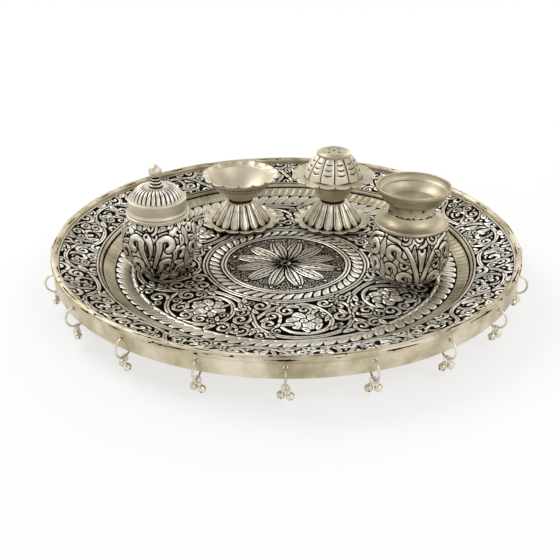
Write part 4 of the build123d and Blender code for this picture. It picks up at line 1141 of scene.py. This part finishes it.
pair_mesh = bell_mesh()
RING_COUNT, HANG_RADIUS, HANG_Z = 20, 151.1, 13.1
for k in range(RING_COUNT):
    azimuth = np.radians(-90 + k * 360 / RING_COUNT)
    pair = placed(f"ghungroo_pair_{k + 1:02d}", pair_mesh)
    pair.location = (HANG_RADIUS * MM * np.cos(azimuth), HANG_RADIUS * MM * np.sin(azimuth), HANG_Z * MM)
    pair.rotation_euler = (0, 0, azimuth)
    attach(pair, f"bell_pair_{k + 1:02d}")
    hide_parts(f"bell_pair_{k + 1:02d}")
print("bells:", 2 * RING_COUNT, "on", RING_COUNT, "rings,", len(pair_mesh.polygons), "faces a pair")

# %% Metals of the pieces that the frame gives
for name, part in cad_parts.items():
    if name.startswith("bell_ring") or name in ("rim_skirt", "foot_ring", "stand_cap"):
        part.data.materials.clear()
        part.data.materials.append(ring_silver if name.startswith("bell_ring") else rolled_silver)
print("frame pieces with metal: skirt, foot, cap, rings")

# %% [markdown]
# The tray stands on a white table in soft studio light. A softbox high on the left and behind gives the
# shadow that falls to the right and forwards. A second one in front and to the right gives the bowls
# their second window of light, and a third behind lights the far rim. The room is a plain gradient,
# bright at the horizon like white walls and greyer overhead, so that curved silver has something to show.

# %% Table
TABLE_WHITE, TABLE_SIZE, TABLE_Z = "#F7F6F4", 12, -0.0002
PAPER_LIFT, LIFT_NEAR, LIFT_FAR = 0.66, 0.8, 4.0
bpy.context.scene.view_settings.view_transform = "Standard"
bpy.ops.mesh.primitive_plane_add(size=TABLE_SIZE, location=(0, 0, TABLE_Z))
table = bpy.context.object
table.name = "table"
white = bpy.data.materials.new("white_table")
white.use_nodes = True
board = white.node_tree
paper = board.nodes["Principled BSDF"]
paper.inputs["Base Color"].default_value = linear(TABLE_WHITE)
paper.inputs["Roughness"].default_value = 0.9
# The photo is exposed until the paper is nearly white, so the eye and the silver see it lifted.
path = add(board, "LightPath").outputs
seen = combine(board, "MAXIMUM", path["Is Camera Ray"], path["Is Glossy Ray"])
seen = combine(board, "MAXIMUM", seen, path["Is Transmission Ray"])
# Far from the tray the paper goes over into the white of the room.
spot = add(board, "TexCoord").outputs["Object"]
away = add(board, "VectorMath", {0: spot}, operation="LENGTH").outputs["Value"]
lifted = combine(board, "MULTIPLY", seen, remap(board, away, LIFT_NEAR, LIFT_FAR, PAPER_LIFT, 1.0))
glow = add(board, "Emission", {"Color": (1, 1, 1, 1), "Strength": 1.0}).outputs["Emission"]
sheet = add(board, "MixShader", {0: lifted, 1: paper.outputs["BSDF"], 2: glow})
board.links.new(sheet.outputs["Shader"], board.nodes["Material Output"].inputs["Surface"])
table.data.materials.append(white)
print("table:", TABLE_SIZE, "m of white paper")


# %% Light
def softbox(name, place, size, watts):
    """A square area lamp that faces the middle of the tray."""
    lamp = bpy.data.lights.new(name, "AREA")
    lamp.size = size
    lamp.energy = watts
    holder = placed(name, lamp)
    holder.location = place
    holder.rotation_euler = (-Vector(place)).to_track_quat("-Z", "Y").to_euler()


softbox("softbox_left", (-0.9, 0.55, 1.2), 0.9, 10.5)
softbox("softbox_right", (0.8, -0.7, 1.1), 0.6, 4)
softbox("softbox_back", (0.75, 1.15, 0.8), 0.9, 3.2)

WALL_RISE, CEILING_GREY = 0.25, 0.35
room = bpy.data.worlds.new("white_room")
bpy.context.scene.world = room
room.use_nodes = True
sky = room.node_tree
direction = add(sky, "TexCoord").outputs["Generated"]
rise = add(sky, "SeparateXYZ", {"Vector": direction}).outputs["Z"]
shade = remap(sky, rise, WALL_RISE, 1.0, 1.0, CEILING_GREY)
sky.links.new(shade, sky.nodes["Background"].inputs["Color"])
print("lamps:", len(bpy.data.lights))

# %% [markdown]
# The camera looks down on the tray from the front by about 27 degrees, from a little over half a metre.

# %% Camera
EYE = Vector((0, -0.5381, 0.2767))
TARGET = Vector((-0.00405, 0, -0.00232))
camera = placed("camera", bpy.data.cameras.new("camera"))
camera.location = EYE
camera.rotation_euler = (TARGET - EYE).to_track_quat("-Z", "Y").to_euler()
camera.data.lens = 57.29
camera.data.sensor_width = 36
bpy.context.scene.camera = camera
print("camera:", round((TARGET - EYE).length, 3), "m from its target")
